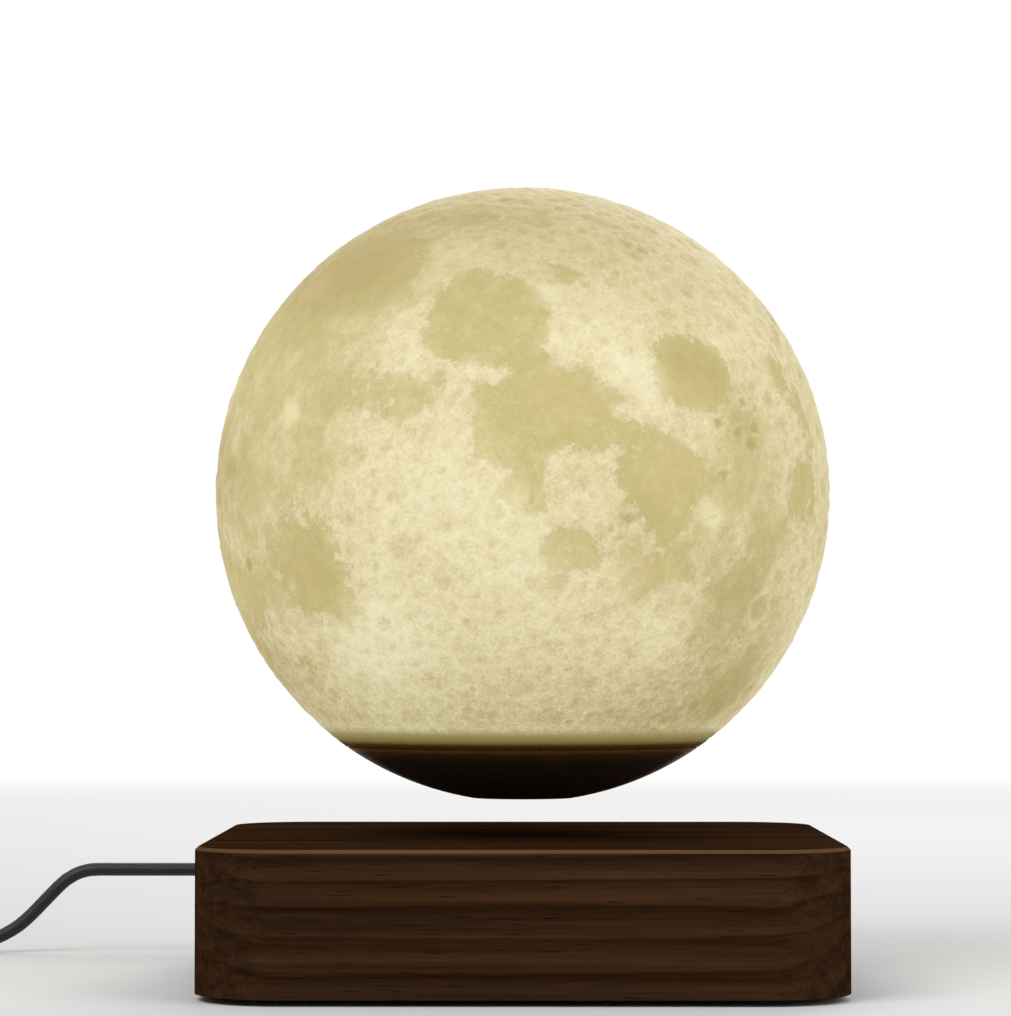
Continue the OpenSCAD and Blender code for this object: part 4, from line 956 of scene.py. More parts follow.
# Painted shade: the colour and the glow grow darker towards the top, far from the light chips
# inside.
shaded_top = mixed(0.62, surface, (0.45, 0.36, 0.15, 1))
surface = mixed(height_share(place, TOP_FROM, TOP_FULL, TOP_SHADE_MOST), surface, shaded_top)
over_seam = added(height_share(place, SEAM_FROM, SEAM_FULL), centred(speckle, 0.12))
seam_glow = ramp(over_seam, [(0.0, (0.02, 0.008, 0.0006)), (0.2, (0.06, 0.024, 0.003)),
                             (0.38, (0.25, 0.19, 0.06)), (0.6, (0.36, 0.30, 0.11)),
                             (0.8, (0.47, 0.40, 0.18))])
glow_share = ramp(over_seam, [(0.72, 0.0), (0.98, 1.0)])
feed(mixed(glow_share, mixed(LIT_SHARE, BLACK, seam_glow), mixed(LIT_SHARE, BLACK, surface)),
     shader, "Base Color")
feed(mixed(glow_share, seam_glow, surface), shader, "Emission Color")
shader.inputs["Emission Strength"].default_value = GLOW
grit = added(times(small_pits, 0.5), times(mottle, 0.8),
             times(ramp(pits, [(0.12, 0.0), (0.3, 1.0)]), 0.25))
raise_surface(shader, times(grit, minus(1.0, times(plain_share, 0.8))), 0.22)
print("moon_plastic", len(shader.id_data.nodes), "nodes")

# %% [markdown]
# Now the ball is closed: faces outside, faces turned inwards inside, and a flat band between them
# at the seam. The measured values go into the mesh as attributes, which the crater tree and the
# finish read. Near the seam the relief fades out, so that the shell meets its foot.

# %% Build the globe
RIM_FADE_MM = 2


def ball_faces(rings, first, way=1):
    """Faces of a ball of rings, numbered from first, closed at its top. Way -1 faces inwards."""
    faces = []
    for ring in range(rings - 1):
        faces += quads_between(first + ring * SPOKES, first + (ring + 1) * SPOKES, SPOKES)
    last, top = first + (rings - 1) * SPOKES, first + rings * SPOKES
    edges = [(last + k, last + (k + 1) % SPOKES) for k in range(SPOKES)]
    return [face[::way] for face in faces] + [(*edge[::way], top) for edge in edges]


inner_first = len(outer)
faces = ball_faces(RINGS, 0) + ball_faces(INNER_RINGS, inner_first, -1)
faces += [face[::-1] for face in quads_between(0, inner_first, SPOKES)]
seam_down = math.sqrt(GLOBE_R ** 2 - SEAM_R ** 2)
inner[:SPOKES, 2] = -seam_down
inner_seam_r = math.sqrt((GLOBE_R - WALL) ** 2 - seam_down ** 2)
inner[:SPOKES, :2] *= inner_seam_r / np.linalg.norm(inner[0, :2])
globe = new_piece("moon_globe", np.vstack([outer, inner]) + [0, 0, GLOBE_Z], faces)

rim_fade = np.clip((outer[:, 2] + seam_down) / RIM_FADE_MM, 0, 1)
carried_values = {"plain": plain, "veil": veil, "tone": tone, "tan": tan,
                  "relief": relief * rim_fade, "outside": rim_fade}
for label, values in carried_values.items():
    column = globe.data.attributes.new(label, "FLOAT", "POINT")
    column.data.foreach_set("value", np.concatenate([values, np.zeros(len(inner))]))
grown(globe, crater_tree(["Large", "Middle", "Small"]), "moon_plastic", {
    "Rim share": 0.35, "Large radius": 4.2 * MM, "Large depth": 0.34 * MM,
    "Large spacing": 13 * MM, "Large seed": 4, "Middle radius": 2.4 * MM,
    "Middle depth": 0.2 * MM, "Middle spacing": 6 * MM, "Middle seed": 9,
    "Small radius": 1.5 * MM, "Small depth": 0.14 * MM, "Small spacing": 3.4 * MM,
    "Small seed": 17})
globe.data.shade_smooth()
dress(globe, "moon_plastic", "globe", "moon_shell")

# %% [markdown]
# ## Parts that come in rings
# Most small parts of the lamp stand in rings about its middle: four feet, four screws, four
# electromagnets, sixteen light chips. Copies could be placed one by one in a loop, but a Geometry
# Nodes tree does it from a count and a radius. Screws get their cross recess in the same tree,
# cut by two crossed bars, and each one is turned by a random amount, because a screw stops where
# it is tight.

# %% Ring tree
def upright(value):
    """A move straight up, or a turn about the upright axis."""
    return wire("ShaderNodeCombineXYZ", {"Z": value}).outputs[0]


def moved(geometry, **how):
    return wire("GeometryNodeTransform", {"Geometry": geometry, **how}).outputs[0]


def with_recess(part, sizes):
    """Cuts a cross recess into the head of a screw."""
    deep, level = times(sizes["Recess depth"], 2.0), upright(sizes["Recess height"])
    bars = []
    for x, y in (("Recess length", "Recess width"), ("Recess width", "Recess length")):
        size = wire("ShaderNodeCombineXYZ", {"X": sizes[x], "Y": sizes[y], "Z": deep}).outputs[0]
        bar = wire("GeometryNodeMeshCube", {"Size": size}).outputs[0]
        bars.append(moved(bar, Translation=level))
    cut = wire("GeometryNodeMeshBoolean", {"Mesh 1": part, "Mesh 2": bars[0]},
               operation="DIFFERENCE", solver="EXACT")
    feed(bars[1], cut, "Mesh 2")
    return cut.outputs[0]


def ring_tree(recess=False):
    """Stands copies of a part in a ring about the upright axis."""
    labels = ["Ring radius", "Start", "Random turn"]
    if recess:
        labels += ["Recess width", "Recess length", "Recess depth", "Recess height"]
    name = "ring_of_screws" if recess else "ring_of_parts"
    tree, sizes = tree_with(name, labels, ("Count", "Seed"))
    part = with_recess(sizes["Geometry"], sizes) if recess else sizes["Geometry"]
    circle = wire("GeometryNodeMeshCircle", {"Vertices": sizes["Count"],
                                             "Radius": sizes["Ring radius"]}).outputs[0]
    ring = moved(circle, Rotation=upright(sizes["Start"]))
    index = tree.nodes.new("GeometryNodeInputIndex").outputs[0]
    around = times(index, maths("DIVIDE", 2 * math.pi, sizes["Count"]))
    chance = wire("FunctionNodeRandomValue", {2: 0.0, 3: sizes["Random turn"], 8: sizes["Seed"]},
                  data_type="FLOAT").outputs[1]
    turn = upright(added(sizes["Start"], around, chance))
    copies = wire("GeometryNodeInstanceOnPoints", {"Points": ring, "Instance": part,
                                                   "Rotation": turn}).outputs[0]
    return end_tree(tree, sizes, copies)


RING_OF_PARTS, RING_OF_SCREWS = ring_tree(), ring_tree(recess=True)


def in_ring(piece, finish, count, radius, start=0, tree=RING_OF_PARTS, **more):
    """Stands copies of a piece in a ring; start is the first one's angle in degrees."""
    return grown(piece, tree, finish, {"Count": count, "Ring radius": radius * MM,
                                       "Start": math.radians(start), **more})

# %% [markdown]
# ## Screws and feet
# A turned part is a profile spun about an axis, as on a lathe. A screw is one too. Its thread is
# drawn as rings, not as a helix, because so fine a thread looks the same and the mesh stays
# closed.

# %% Turned parts
ORIGIN, UP = (0, 0, 0), (0, 0, 1)
DOUBLED_M = 1e-6


def outward(piece):
    """Merges doubled points and turns every face outwards."""
    shell = bmesh.new()
    shell.from_mesh(piece.data)
    bmesh.ops.remove_doubles(shell, verts=shell.verts, dist=DOUBLED_M)
    bmesh.ops.recalc_face_normals(shell, faces=shell.faces)
    shell.to_mesh(piece.data)
    shell.free()
    return piece


def spun_points(profile, start, along, steps):
    """Spins (radius, distance) pairs about a line from start in the direction along."""
    axis = Vector(along).normalized()
    side = axis.orthogonal().normalized()
    other = axis.cross(side)
    points = []
    for radius, distance in profile:
        for step in range(steps):
            angle = 2 * math.pi * step / steps
            points.append(Vector(start) + axis * distance
                          + (side * math.cos(angle) + other * math.sin(angle)) * radius)
    return points


def turned(name, profile, start=ORIGIN, along=UP, steps=48):
    """A turned part: a profile spun about a line, closed at both ends."""
    points = spun_points(profile, start, along, steps)
    return outward(new_piece(name, points, tube_faces(len(profile), steps)))

# %% Screws
THREAD_PITCH, ROOT_SHARE, THREADED_SHARE = 0.7, 0.8, 0.75
RECESS_WIDE, RECESS_DEEP, RECESS_SHARE = 0.62, 0.7, 1.15


def screw(name, tip, seat, face, shank_r, head_r, sunk):
    """A screw on the upright axis, from the height of its tip to the face of its head."""
    way = 1 if face > tip else -1
    root_r = shank_r * ROOT_SHARE
    profile = [(shank_r * 0.25, tip), (root_r, tip + way * 0.5)]
    for turn in range(int(abs(seat - tip) * THREADED_SHARE / THREAD_PITCH)):
        crest = tip + way * (0.8 + turn * THREAD_PITCH)
        profile += [(shank_r, crest), (root_r, crest + way * THREAD_PITCH * 0.5)]
    profile += [(shank_r, seat)]
    if sunk:
        profile += [(head_r - 0.05, face - way * 0.1), (head_r - 0.15, face)]
    else:
        height = face - seat
        profile += [(head_r, seat), (head_r, seat + height * 0.45),
                    (head_r * 0.88, seat + height * 0.8), (head_r * 0.62, face)]
    return turned(name, profile, steps=24)


DIAGONAL = math.sqrt(2)
# (tip, seat, face, shank radius, head radius, sunk), name, node, body, count, ring radius, start
SCREWS = [
    ((13.5, 3.1, 1.5, 1.3, 2.7, True), "base_screw_set", "base_screws", "base", 4,
     60 * DIAGONAL, 45),
    ((9.5, 3.1, 1.5, 1.3, 2.7, True), "tray_screw_set", "tray_screws", "base", 4, 52.5, 45),
    ((5.6, 9.6, 10.7, 1.3, 2.3, False), "board_screw_set", "board_screws", "base", 4,
     27.5 * DIAGONAL, 45),
    ((51, 60.4, 61.4, 1, 1.8, False), "cover_screw_set", "cover_screws", "globe", 3, 24.4, 30)]
for number, (heights, name, node, body, count, radius, start) in enumerate(SCREWS):
    made = screw(name, *heights)
    face, head_r = heights[2], heights[4]
    in_ring(made, "screw_steel", count, radius, start, RING_OF_SCREWS, **{
        "Random turn": math.pi / 2, "Seed": 3 + number, "Recess width": RECESS_WIDE * MM,
        "Recess length": head_r * RECESS_SHARE * MM, "Recess depth": RECESS_DEEP * MM,
        "Recess height": face * MM})
    dress(sharpen(made, 30), "screw_steel", body, node)

# %% [markdown]
# Each rubber foot is a low disc with a soft edge and a dimple below. Its corners could be
# bevelled by a modifier, but rounding the profile before it is spun is exact and cheap.

# %% Rubber feet
def rounded(profile, radius, steps=5):
    """Rounds the inner corners of a profile, over less than half of each side."""
    out = [profile[0]]
    for before, corner, after in zip(profile, profile[1:], profile[2:]):
        p, c, n = Vector(before), Vector(corner), Vector(after)
        reach = min(radius, (p - c).length * 0.45, (n - c).length * 0.45)
        a, b = c + (p - c).normalized() * reach, c + (n - c).normalized() * reach
        for step in range(steps + 1):
            t = step / steps
            out.append(tuple(a * (1 - t) ** 2 + c * (2 * t * (1 - t)) + b * t ** 2))
    out.append(profile[-1])
    return out


foot = turned("rubber_foot_set", rounded([(2.2, 0.5), (2.7, 0), (5.3, 0), (6, 0.8), (6, 2.3)], 0.4))
in_ring(foot, "foot_rubber", 4, 51 * DIAGONAL, 45)
dress(sharpen(foot), "foot_rubber", "base", "rubber_feet")

# %% [markdown]
# ## Magnets and coils
# Four electromagnets stand inside the ring magnet. Each is a steel core in a plastic bobbin,
# wound with enamelled copper wire. A winding is a helix and a flat coil is a spiral, so one tree
# sweeps a round wire along a spiral curve for all of them. The wire is wound on top of the part
# that enters the tree: the body of wire under its last layer.

# %% Winding tree
WIRE_SIDES = 8
WOUND_WIRE, sizes = tree_with("wound_wire", ("Wire radius", "First radius", "Last radius", "Turns",
                                             "Rise", "Height"), ["Steps"])
spiral = wire("GeometryNodeCurveSpiral", {
    "Resolution": sizes["Steps"], "Rotations": sizes["Turns"], "Height": sizes["Rise"],
    "Start Radius": sizes["First radius"], "End Radius": sizes["Last radius"]}).outputs[0]
spiral = moved(spiral, Translation=upright(sizes["Height"]))
section = wire("GeometryNodeCurvePrimitiveCircle", {"Resolution": WIRE_SIDES,
                                                    "Radius": sizes["Wire radius"]}).outputs[0]
strand = wire("GeometryNodeCurveToMesh", {"Curve": spiral, "Profile Curve": section,
                                          "Fill Caps": True}).outputs[0]
both = wire("GeometryNodeJoinGeometry", {"Geometry": sizes["Geometry"]})
feed(strand, both, "Geometry")
end_tree(WOUND_WIRE, sizes, both.outputs[0])


def wound(piece, wire_r, first_r, last_r, turns, rise, height, steps):
    """Winds copper wire on a piece."""
    return grown(piece, WOUND_WIRE, "copper_wire", {
        "Steps": steps, "Wire radius": wire_r * MM, "First radius": first_r * MM,
        "Last radius": last_r * MM, "Turns": turns, "Rise": rise * MM, "Height": height * MM})

# %% [markdown]
# A bobbin, a coil's body and a ring magnet have a hole through them. So their outline is closed,
# and spinning it needs no caps.

# %% Rings and sleeves
def turned_loop(name, loop, start=ORIGIN, along=UP, steps=48, ease=0.3):
    """A ring or a sleeve: a closed outline, with its corners eased, spun about a line."""
    middle = tuple((a + b) / 2 for a, b in zip(loop[0], loop[1]))
    outline = rounded([middle, *loop[1:], loop[0], middle], ease, 3)[:-1] if ease else loop
    faces = []
    for ring in range(len(outline)):
        faces += quads_between(ring * steps, (ring + 1) % len(outline) * steps, steps)
    return outward(new_piece(name, spun_points(outline, start, along, steps), faces))

# %% Electromagnets
MAGNETS, MAGNET_RING = 4, 20.5
bobbin = turned_loop("bobbin_set", [(3.1, 15), (11.5, 15), (11.5, 16.2), (4.3, 16.2), (4.3, 26.8),
                                    (11.5, 26.8), (11.5, 28), (3.1, 28)], steps=40, ease=0.25)
in_ring(bobbin, "bobbin_plastic", MAGNETS, MAGNET_RING)
dress(sharpen(bobbin), "bobbin_plastic", "base", "coil_bobbins")

winding = turned_loop("magnet_windings", [(4.3, 16.25), (10.7, 16.25), (10.7, 26.75), (4.3, 26.75)],
                      steps=32, ease=0)
wound(winding, 0.35, 10.75, 10.75, 14, 9.8, 16.6, 36)
in_ring(winding, "copper_wire", MAGNETS, MAGNET_RING)
dress(sharpen(winding, 60), "copper_wire", "base", "coil_windings")

core = turned("core_set", rounded([(0.5, 13), (3, 13), (3, 28), (0.5, 28)], 0.4, 3), steps=32)
in_ring(core, "core_steel", MAGNETS, MAGNET_RING)
dress(sharpen(core), "core_steel", "base", "coil_cores")

# %% [markdown]
# Two flat coils face each other across the gap: one turn of wire beside the other in the base,
# which sends power, and two layers in the foot, which receive it.

# %% Power coils
sender = turned_loop("sending_coil", [(38.4, 29.1), (53.6, 29.1), (53.6, 29.5), (38.4, 29.5)],
                     steps=96, ease=0)
wound(sender, 0.9, 38.9, 53.1, 7.6, 0, 29.9, 96)
dress(sharpen(sender, 60), "copper_wire", "base", "transmit_coil")

receiver = turned_loop("receiving_coil", [(27.9, 55.8), (32.1, 55.8), (32.1, 58), (27.9, 58)],
                       steps=96, ease=0.2)
for layer in (56.3, 57.5):
    wound(receiver, 0.58, 28.1, 31.9, 3.1, 0, layer, 96)
dress(sharpen(receiver, 60), "copper_wire", "globe", "receive_coil")

# %% [markdown]
# The ring magnet is dull grey ferrite and carries the globe's weight. The disc in the foot is
# plated with nickel. Both are plain turned shapes with eased edges.

# %% Magnets
ring_magnet = turned_loop("ferrite_ring", [(35, 15), (55, 15), (55, 27), (35, 27)],
                          steps=128, ease=0.7)
dress(sharpen(ring_magnet), "ferrite", "base", "ring_magnet")
disc = turned("lift_disc", rounded([(4, 48.2), (20, 48.2), (20, 58.2), (4, 58.2)], 0.8), steps=96)
dress(sharpen(disc), "magnet_nickel", "lift", "lift_magnet")

# %% [markdown]
# ## Light board
# Sixteen white light chips face up inside the globe: a ring of twelve and a ring of four. Each is
# a small white frame with a drop of yellow phosphor in its well. One chip is modelled, and the
# ring tree repeats it.

# %% Light chips
CHIP_W, CHIP_HIGH, CHIP_WALL, CHIP_WELL = 3.5, 1.1, 0.4, 0.35
CHIP_Z, CHIP_RINGS = 82.0, ((12, 16.5), (4, 7))
DROP = [(1.3, 0.7), (1.25, 0.95), (0.95, 1.2), (0.5, 1.36), (0.12, 1.4)]


def chip_frame():
    """A small square frame with a well in its top."""
    h, i = CHIP_W / 2, CHIP_W / 2 - CHIP_WALL
    rings = [(h, 0), (h, CHIP_HIGH * 0.85), (h - 0.15, CHIP_HIGH), (i, CHIP_HIGH),
             (i - 0.25, CHIP_HIGH - CHIP_WELL)]
    points = [(x * reach, y * reach, CHIP_Z + level) for reach, level in rings
              for x, y in ((-1, -1), (1, -1), (1, 1), (-1, 1))]
    return new_piece("frame", points, tube_faces(len(rings), 4), smooth=False)


def joined(name, *pieces):
    """One mesh object from several."""
    shell = bmesh.new()
    for piece in pieces:
        shell.from_mesh(piece.data)
        bpy.data.objects.remove(piece)
    mesh = bpy.data.meshes.new(name)
    shell.to_mesh(mesh)
    shell.free()
    whole = bpy.data.objects.new(name, mesh)
    scene.collection.objects.link(whole)
    return whole


drop_profile = [(radius, CHIP_Z + level) for radius, level in DROP]
frames = [in_ring(chip_frame(), "tray_plastic", *ring) for ring in CHIP_RINGS]
drops = [in_ring(turned("drop", drop_profile, steps=20), "light_chip", *ring)
         for ring in CHIP_RINGS]
dress(joined("chip_frames", *frames), "tray_plastic", "globe")
dress(sharpen(joined("chip_drops", *drops), 50), "light_chip", "globe", "led_chips")

# %% [markdown]
# The light board stands on an aluminium post, which carries its heat away through fins. A fin is
# one thin wedge, and the ring tree stands eighteen of them round the post.

# %% Light post and fins
FINS, POST_R = 18, 7
FIN_ENDS = ((67, 3.2), (78.3, 6.5))  # the height of each end, and how far it reaches
stalk = turned("light_post", rounded([(2, 60.4), (10, 60.4), (10, 62.4), (7, 62.4), (7, 78.4),
                                      (16, 78.4), (16, 80.4), (2, 80.4)], 0.5, 3), steps=64)
fin_points = [(x, y, z) for z, reach in FIN_ENDS
              for x, y in ((-0.5, -0.5), (reach, -0.4), (reach, 0.4), (-0.5, 0.5))]
fin = new_piece("fins", fin_points, tube_faces(2, 4), smooth=False)
in_ring(fin, "heat_sink", FINS, POST_R)
dress(sharpen(joined("light_post_finned", stalk, fin), 35), "heat_sink", "globe", "led_post")

# %% [markdown]
# ## Power socket, plug and strain reliefs
# The round socket goes through the back wall. It is turned with a thread behind its flange, for
# its nut, and a pin in its middle. The plug's metal barrel fits over the pin.

# %% Socket and plug barrel
SOCKET, INWARD = (-40, 76.5, 22), (0, -1, 0)
THREADS, CREST_R, TROUGH_R = 13, 5.5, 5.15
thread = [pair for turn in range(THREADS)
          for pair in ((CREST_R, 2 + turn * 0.8), (TROUGH_R, 2.4 + turn * 0.8))]
jack = turned_loop("socket_body", [(2.85, 0), (6.7, 0), (7, 0.35), (7, 1.5), (CREST_R, 1.5),
                                   *thread, (CREST_R, 12.5), (1, 12.5), (1, 9.5), (2.85, 9.5)],
                   SOCKET, INWARD, ease=0)
dress(sharpen(jack, 30), "socket_plastic", "base", "dc_jack")
pin = turned("socket_pin", [(0.3, 2), (0.75, 2.15), (1, 2.6), (1, 13.5)], SOCKET, INWARD, 24)
dress(sharpen(pin), "plated_brass", "base", "jack_pin")
barrel = turned_loop("plug_barrel_sleeve", [(1.1, 0), (2.75, 0), (2.75, 8.9), (2.4, 9.5),
                                            (1.4, 9.5), (1.1, 9.2)], SOCKET, INWARD, 40, 0.1)
dress(sharpen(barrel), "nickel", "base", "plug_barrel")

# %% [markdown]
# The plug's body is moulded in one shot, so its round head runs into its arm with soft fillets.
# Bevels fail where two round shapes meet. Instead the construction shape is rebuilt in small even
# faces and smoothed a little, which melts the joint.

# %% Plug body
LOOSE_M = 2e-6  # the construction model's loose triangles meet within this, in metres
PLUG_GRAIN, PLUG_ROUNDS = 0.3, 8


def evaluated(piece):
    """Keeps what a piece's modifiers make, and takes the modifiers off."""
    depsgraph = bpy.context.evaluated_depsgraph_get()
    made = bpy.data.meshes.new_from_object(piece.evaluated_get(depsgraph), depsgraph=depsgraph)
    piece.modifiers.clear()
    piece.data = made
    return piece


def copied(node, name):
    """A copy of a construction part, its doubled points merged and its flat faces made whole."""
    piece = bpy.data.objects.new(name, frame["nodes"][node].data.copy())
    scene.collection.objects.link(piece)
    shell = bmesh.new()
    shell.from_mesh(piece.data)
    bmesh.ops.remove_doubles(shell, verts=shell.verts, dist=LOOSE_M)
    bmesh.ops.dissolve_limit(shell, angle_limit=math.radians(1), verts=shell.verts,
                             edges=shell.edges)
    shell.to_mesh(piece.data)
    shell.free()
    return piece


plug = copied("plug_body", "plug_moulding")
even = plug.modifiers.new("even", "REMESH")
even.mode, even.voxel_size = "VOXEL", PLUG_GRAIN * MM
melt = plug.modifiers.new("melt", "SMOOTH")
melt.factor, melt.iterations = 0.5, PLUG_ROUNDS
evaluated(plug).data.shade_smooth()
dress(plug, "cord_plastic", "base", "plug_body")

# %% [markdown]
# A strain relief is a tapering sleeve cut by rings, which lets the cord bend gently. Its rule is
# simple, so a tree makes it: the radius of a fine cylinder shrinks along its length and drops by
# the groove's depth in every other step. The ends stay plain.

# %% Strain reliefs
SLEEVE_SIDES, SLEEVE_STEPS = 32, 150
PLAIN_ENDS, GROOVE_EDGE = 0.47, -3.0
GROOVE_MM = 0.55
RIBBED_SLEEVE, sizes = tree_with("ribbed_sleeve", ("Length", "Big radius", "Small radius", "Ribs",
                                                   "Groove"))
tube = wire("GeometryNodeMeshCylinder", {"Vertices": SLEEVE_SIDES, "Side Segments": SLEEVE_STEPS,
                                         "Radius": 1.0, "Depth": sizes["Length"]}).outputs[0]
here = RIBBED_SLEEVE.nodes.new("GeometryNodeInputPosition").outputs[0]
split = wire("ShaderNodeSeparateXYZ", {0: here}).outputs
share = added(maths("DIVIDE", split["Z"], sizes["Length"]), 0.5)
taper = wire("ShaderNodeMapRange", {"Value": share, "To Min": sizes["Big radius"],
                                    "To Max": sizes["Small radius"]}).outputs[0]
wave = maths("SINE", times(times(share, sizes["Ribs"]), 2 * math.pi))
middle_share = maths("LESS_THAN", maths("ABSOLUTE", minus(share, 0.5)), PLAIN_ENDS)
groove = times(maths("MULTIPLY", wave, GROOVE_EDGE, clamp=True), middle_share)
radius = minus(taper, times(groove, sizes["Groove"]))
there = wire("ShaderNodeCombineXYZ", {
    "X": times(split["X"], radius), "Y": times(split["Y"], radius),
    "Z": times(share, sizes["Length"])}).outputs[0]
shaped = wire("GeometryNodeSetPosition", {"Geometry": tube, "Position": there}).outputs[0]
end_tree(RIBBED_SLEEVE, sizes, shaped)


def strain_relief(name, node, start, along, length, big_d, small_d, ribs):
    """A ribbed sleeve from start in the direction along."""
    piece = new_piece(name, [ORIGIN], [])
    grown(piece, RIBBED_SLEEVE, "cord_plastic", {
        "Length": length * MM, "Big radius": big_d / 2 * MM, "Small radius": small_d / 2 * MM,
        "Ribs": ribs, "Groove": GROOVE_MM * MM})
    turn = Vector(UP).rotation_difference(Vector(along)).to_matrix().to_4x4()
    piece.data.transform(Matrix.Translation(Vector(start) * MM) @ turn)
    dress(sharpen(outward(piece), 50), "cord_plastic", "base", node)


strain_relief("plug_sleeve", "plug_relief", (-56, 82, 22), (-1, 0, 0), 28, 7.6, 4.6, 7)
strain_relief("adapter_sleeve", "adapter_relief", (-210.3, 9.2, 14.7), (0, 1, 0), 22, 8, 4.6, 6)

# %% [markdown]
# ## Adapter
# A plain black wall adapter. Its case is drawn as a rounded rectangle carried along its length:
# narrower at the cord end, with grip grooves across it, and a fine parting line before the face
# that holds the blades.

# %% Adapter
ADAPTER_X, ADAPTER_Z = -210.3, 14.5
ADAPTER_HALF_W, ADAPTER_HALF_H, ADAPTER_CORNER, CORNER_STEPS = 21, 14.5, 5, 8
GRIP_GROOVES, GROOVE_PITCH, FIRST_GROOVE = 5, 3.2, 8


def lofted(name, start_y, sections):
    """A rounded rectangle carried towards the front through (distance, inset) sections."""
    points = []
    for distance, inset in sections:
        w, h = ADAPTER_HALF_W - inset, ADAPTER_HALF_H - inset
        r = max(0.5, ADAPTER_CORNER - inset * 0.6)
        for side_x, side_z, first in ((1, 1, 0), (-1, 1, 90), (-1, -1, 180), (1, -1, 270)):
            for step in range(CORNER_STEPS + 1):
                a = math.radians(first + 90 * step / CORNER_STEPS)
                points.append((ADAPTER_X + (side_x * (w - r) + r * math.cos(a)), start_y - distance,
                               ADAPTER_Z + (side_z * (h - r) + r * math.sin(a))))
    faces = tube_faces(len(sections), 4 * (CORNER_STEPS + 1))
    return sharpen(outward(new_piece(name, points, faces)))


sections = [(0, 2.4), (0.25, 1.3), (0.9, 0.5), (1.9, 0.1), (3, 0)]
for groove in range(GRIP_GROOVES):
    middle = FIRST_GROOVE + GROOVE_PITCH * groove
    sections += [(middle - 1, 0), (middle - 0.45, 0.5), (middle + 0.45, 0.5), (middle + 1, 0)]
sections += [(71.4, 0), (71.7, 0.3), (72, 0.35)]
dress(lofted("adapter_housing", 9.2, sections), "adapter_plastic", "base", "adapter_case")
sections = [(0, 0.35), (0.3, 0), (1.7, 0), (2.4, 0.3), (2.8, 0.9), (3, 1.8)]
dress(lofted("adapter_front", -62.8, sections), "adapter_plastic", "base", "adapter_face")

# %% [markdown]
# ## Finishes of the construction model's own parts
# The parts inside the base and the globe, and the small turned ones, have their real shape
# already. They keep their construction mesh, and each gets the finish that the construction
# record names.

# %% Dress the construction model's parts
slot_of = {part["node"]: part["material_slot"] for part in frame["record"]["subparts"]}
for node_name, node_object in frame["nodes"].items():
    node_object.data.materials.clear()
    node_object.data.materials.append(FINISHES[slot_of[node_name]])
print("dressed", len(slot_of), "parts in", len(set(slot_of.values())), "finishes")

# %% [markdown]
# ## Eased edges
# No real edge is a knife edge. The wooden case is broken with sandpaper, and mouldings leave the
# tool with a small radius. These parts keep the construction shape: a copy gets narrow rounded
# bevels on its sharp edges, which catch the light. Where bevels meet at a corner, doubled points
# are merged, and the flat faces keep their own direction, so that they still look flat.

# %% Parts with eased edges
SHARP_DEGREES, BEVEL_STEPS, FLAT_WEIGHT = 35, 3, 100


def eased(node, name, width, body="base"):
    """A construction part with its sharp edges rounded over."""
    piece = copied(node, name)
    piece.data.shade_smooth()
    bevel = piece.modifiers.new("ease", "BEVEL")
    bevel.width, bevel.segments, bevel.limit_method = width * MM, BEVEL_STEPS, "ANGLE"
    bevel.angle_limit = math.radians(SHARP_DEGREES)
    piece.modifiers.new("join corners", "WELD").merge_threshold = LOOSE_M
    flat = piece.modifiers.new("flat faces stay flat", "WEIGHTED_NORMAL")
    flat.mode, flat.weight, flat.keep_sharp = "FACE_AREA", FLAT_WEIGHT, True
    dress(evaluated(piece), slot_of[node], body, node)


EASED = [("wood_case", "walnut_block", 0.5), ("bottom_plate", "base_cover", 0.15),
         ("coil_tie", "coil_band", 0.2), ("jack_nut", "socket_nut", 0.3),
         ("module_tray", "magnet_tray", 0.25), ("board_parts", "control_chips", 0.2),
         ("hall_sensors", "field_sensors", 0.15), ("power_parts", "power_chips", 0.2, "globe"),
         ("magnet_cover", "magnet_lid", 0.15, "globe"), ("neck_ring", "neck_band", 0.3, "globe"),
         ("yoke_plate", "yoke", 0.2)]
for entry in EASED:
    eased(*entry)

# %% [markdown]
# ## Studio
# The lamp stands on a pale floor that fades to white far away. The white is only for the camera
# and for reflections: Light Path tells these rays from the light that falls on the lamp. The
# floor keeps the lamp's shadow.

# %% Floor
FLOOR_REACH = 4000
FADE_FROM_M, FADE_TO_M = 0.35, 1.6
WHITE = (1, 1, 1, 1)


def seen_directly(tree, *more):
    """1 for rays of the camera and of reflections, and 0 for the light that falls on things."""
    path = tree.nodes.new("ShaderNodeLightPath").outputs
    seen = maths("MAXIMUM", path["Is Camera Ray"], path["Is Glossy Ray"])
    for name in more:
        seen = maths("MAXIMUM", seen, path[name])
    return seen


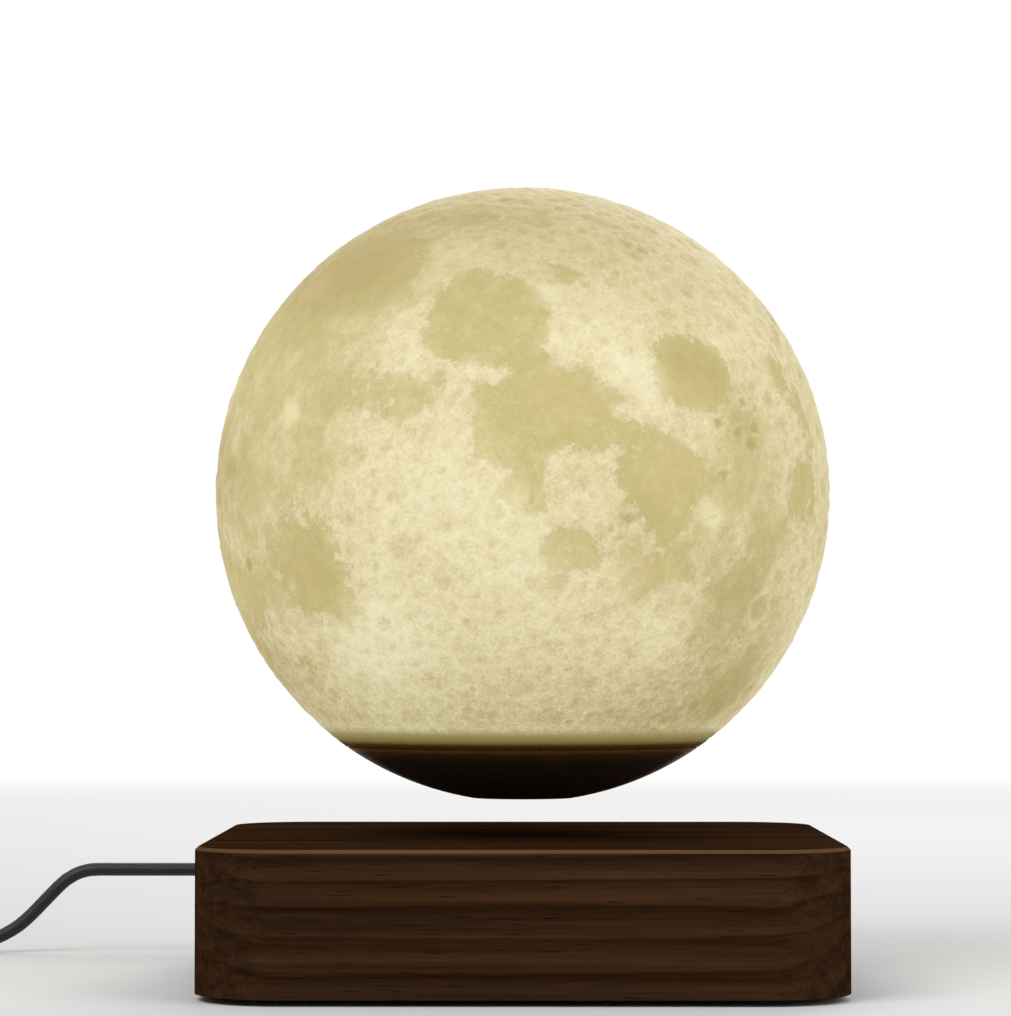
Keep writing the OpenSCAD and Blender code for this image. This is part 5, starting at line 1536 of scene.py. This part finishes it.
floor = new_piece("floor", [(x * FLOOR_REACH, y * FLOOR_REACH, 0)
                            for x, y in ((-1, -1), (1, -1), (1, 1), (-1, 1))],
                  [(0, 1, 2, 3)], smooth=False)
shader, place = new_finish("floor_paint", (0.82, 0.82, 0.82), 0.9, {"Specular IOR Level": 0.0})
tree = shader.id_data
distance = wire("ShaderNodeVectorMath", {0: place}, operation="LENGTH").outputs["Value"]
fade = wire("ShaderNodeMapRange", {"Value": distance, "From Min": FADE_FROM_M,
                                   "From Max": FADE_TO_M}).outputs[0]
white = wire("ShaderNodeEmission", {"Color": WHITE, "Strength": 1.0}, tree)
mix = wire("ShaderNodeMixShader", {0: times(seen_directly(tree), fade), 1: shader.outputs[0],
                                   2: white.outputs[0]})
feed(mix.outputs[0], tree.nodes["Material Output"], "Surface")
floor.data.materials.append(FINISHES["floor_paint"])

# %% [markdown]
# Three soft lights are enough: a key from the left, a weaker fill from the right, and one from
# behind that draws the edges of the dark wood. Broad lights give soft shadows and calm gloss.

# %% Lights
def soft_light(name, place_mm, target_mm, size_mm, watts):
    """A square light that faces a target."""
    data = bpy.data.lights.new(name, "AREA")
    data.shape = "SQUARE"
    data.size = size_mm * MM
    data.energy = watts
    light = bpy.data.objects.new(name, data)
    light.location = Vector(place_mm) * MM
    aim = Vector(target_mm) - Vector(place_mm)
    light.rotation_euler = aim.to_track_quat("-Z", "Y").to_euler()
    scene.collection.objects.link(light)
    print(name, "light", watts, "W")


soft_light("key", (-700, -900, 1100), (0, 0, 90), 900, 11)
soft_light("fill", (900, -700, 600), (0, 0, 90), 900, 5)
soft_light("back", (200, 900, 900), (0, 0, 100), 800, 6)

# %% [markdown]
# The world gives a weak even light. Seen by the camera or in a reflection it is plain white.

# %% Surround
AMBIENT = 0.35
scene.world = bpy.data.worlds.new("surround")
scene.world.use_nodes = True
tree = scene.world.node_tree
tree.nodes.clear()
ambient = wire("ShaderNodeBackground", {"Color": WHITE, "Strength": AMBIENT}, tree)
shown = wire("ShaderNodeBackground", {"Color": WHITE, "Strength": 1.0}, tree)
both = wire("ShaderNodeMixShader", {0: seen_directly(tree, "Is Transmission Ray"),
                                    1: ambient.outputs[0], 2: shown.outputs[0]})
wire("ShaderNodeOutputWorld", {"Surface": both.outputs[0]})
scene.view_settings.view_transform = "Standard"
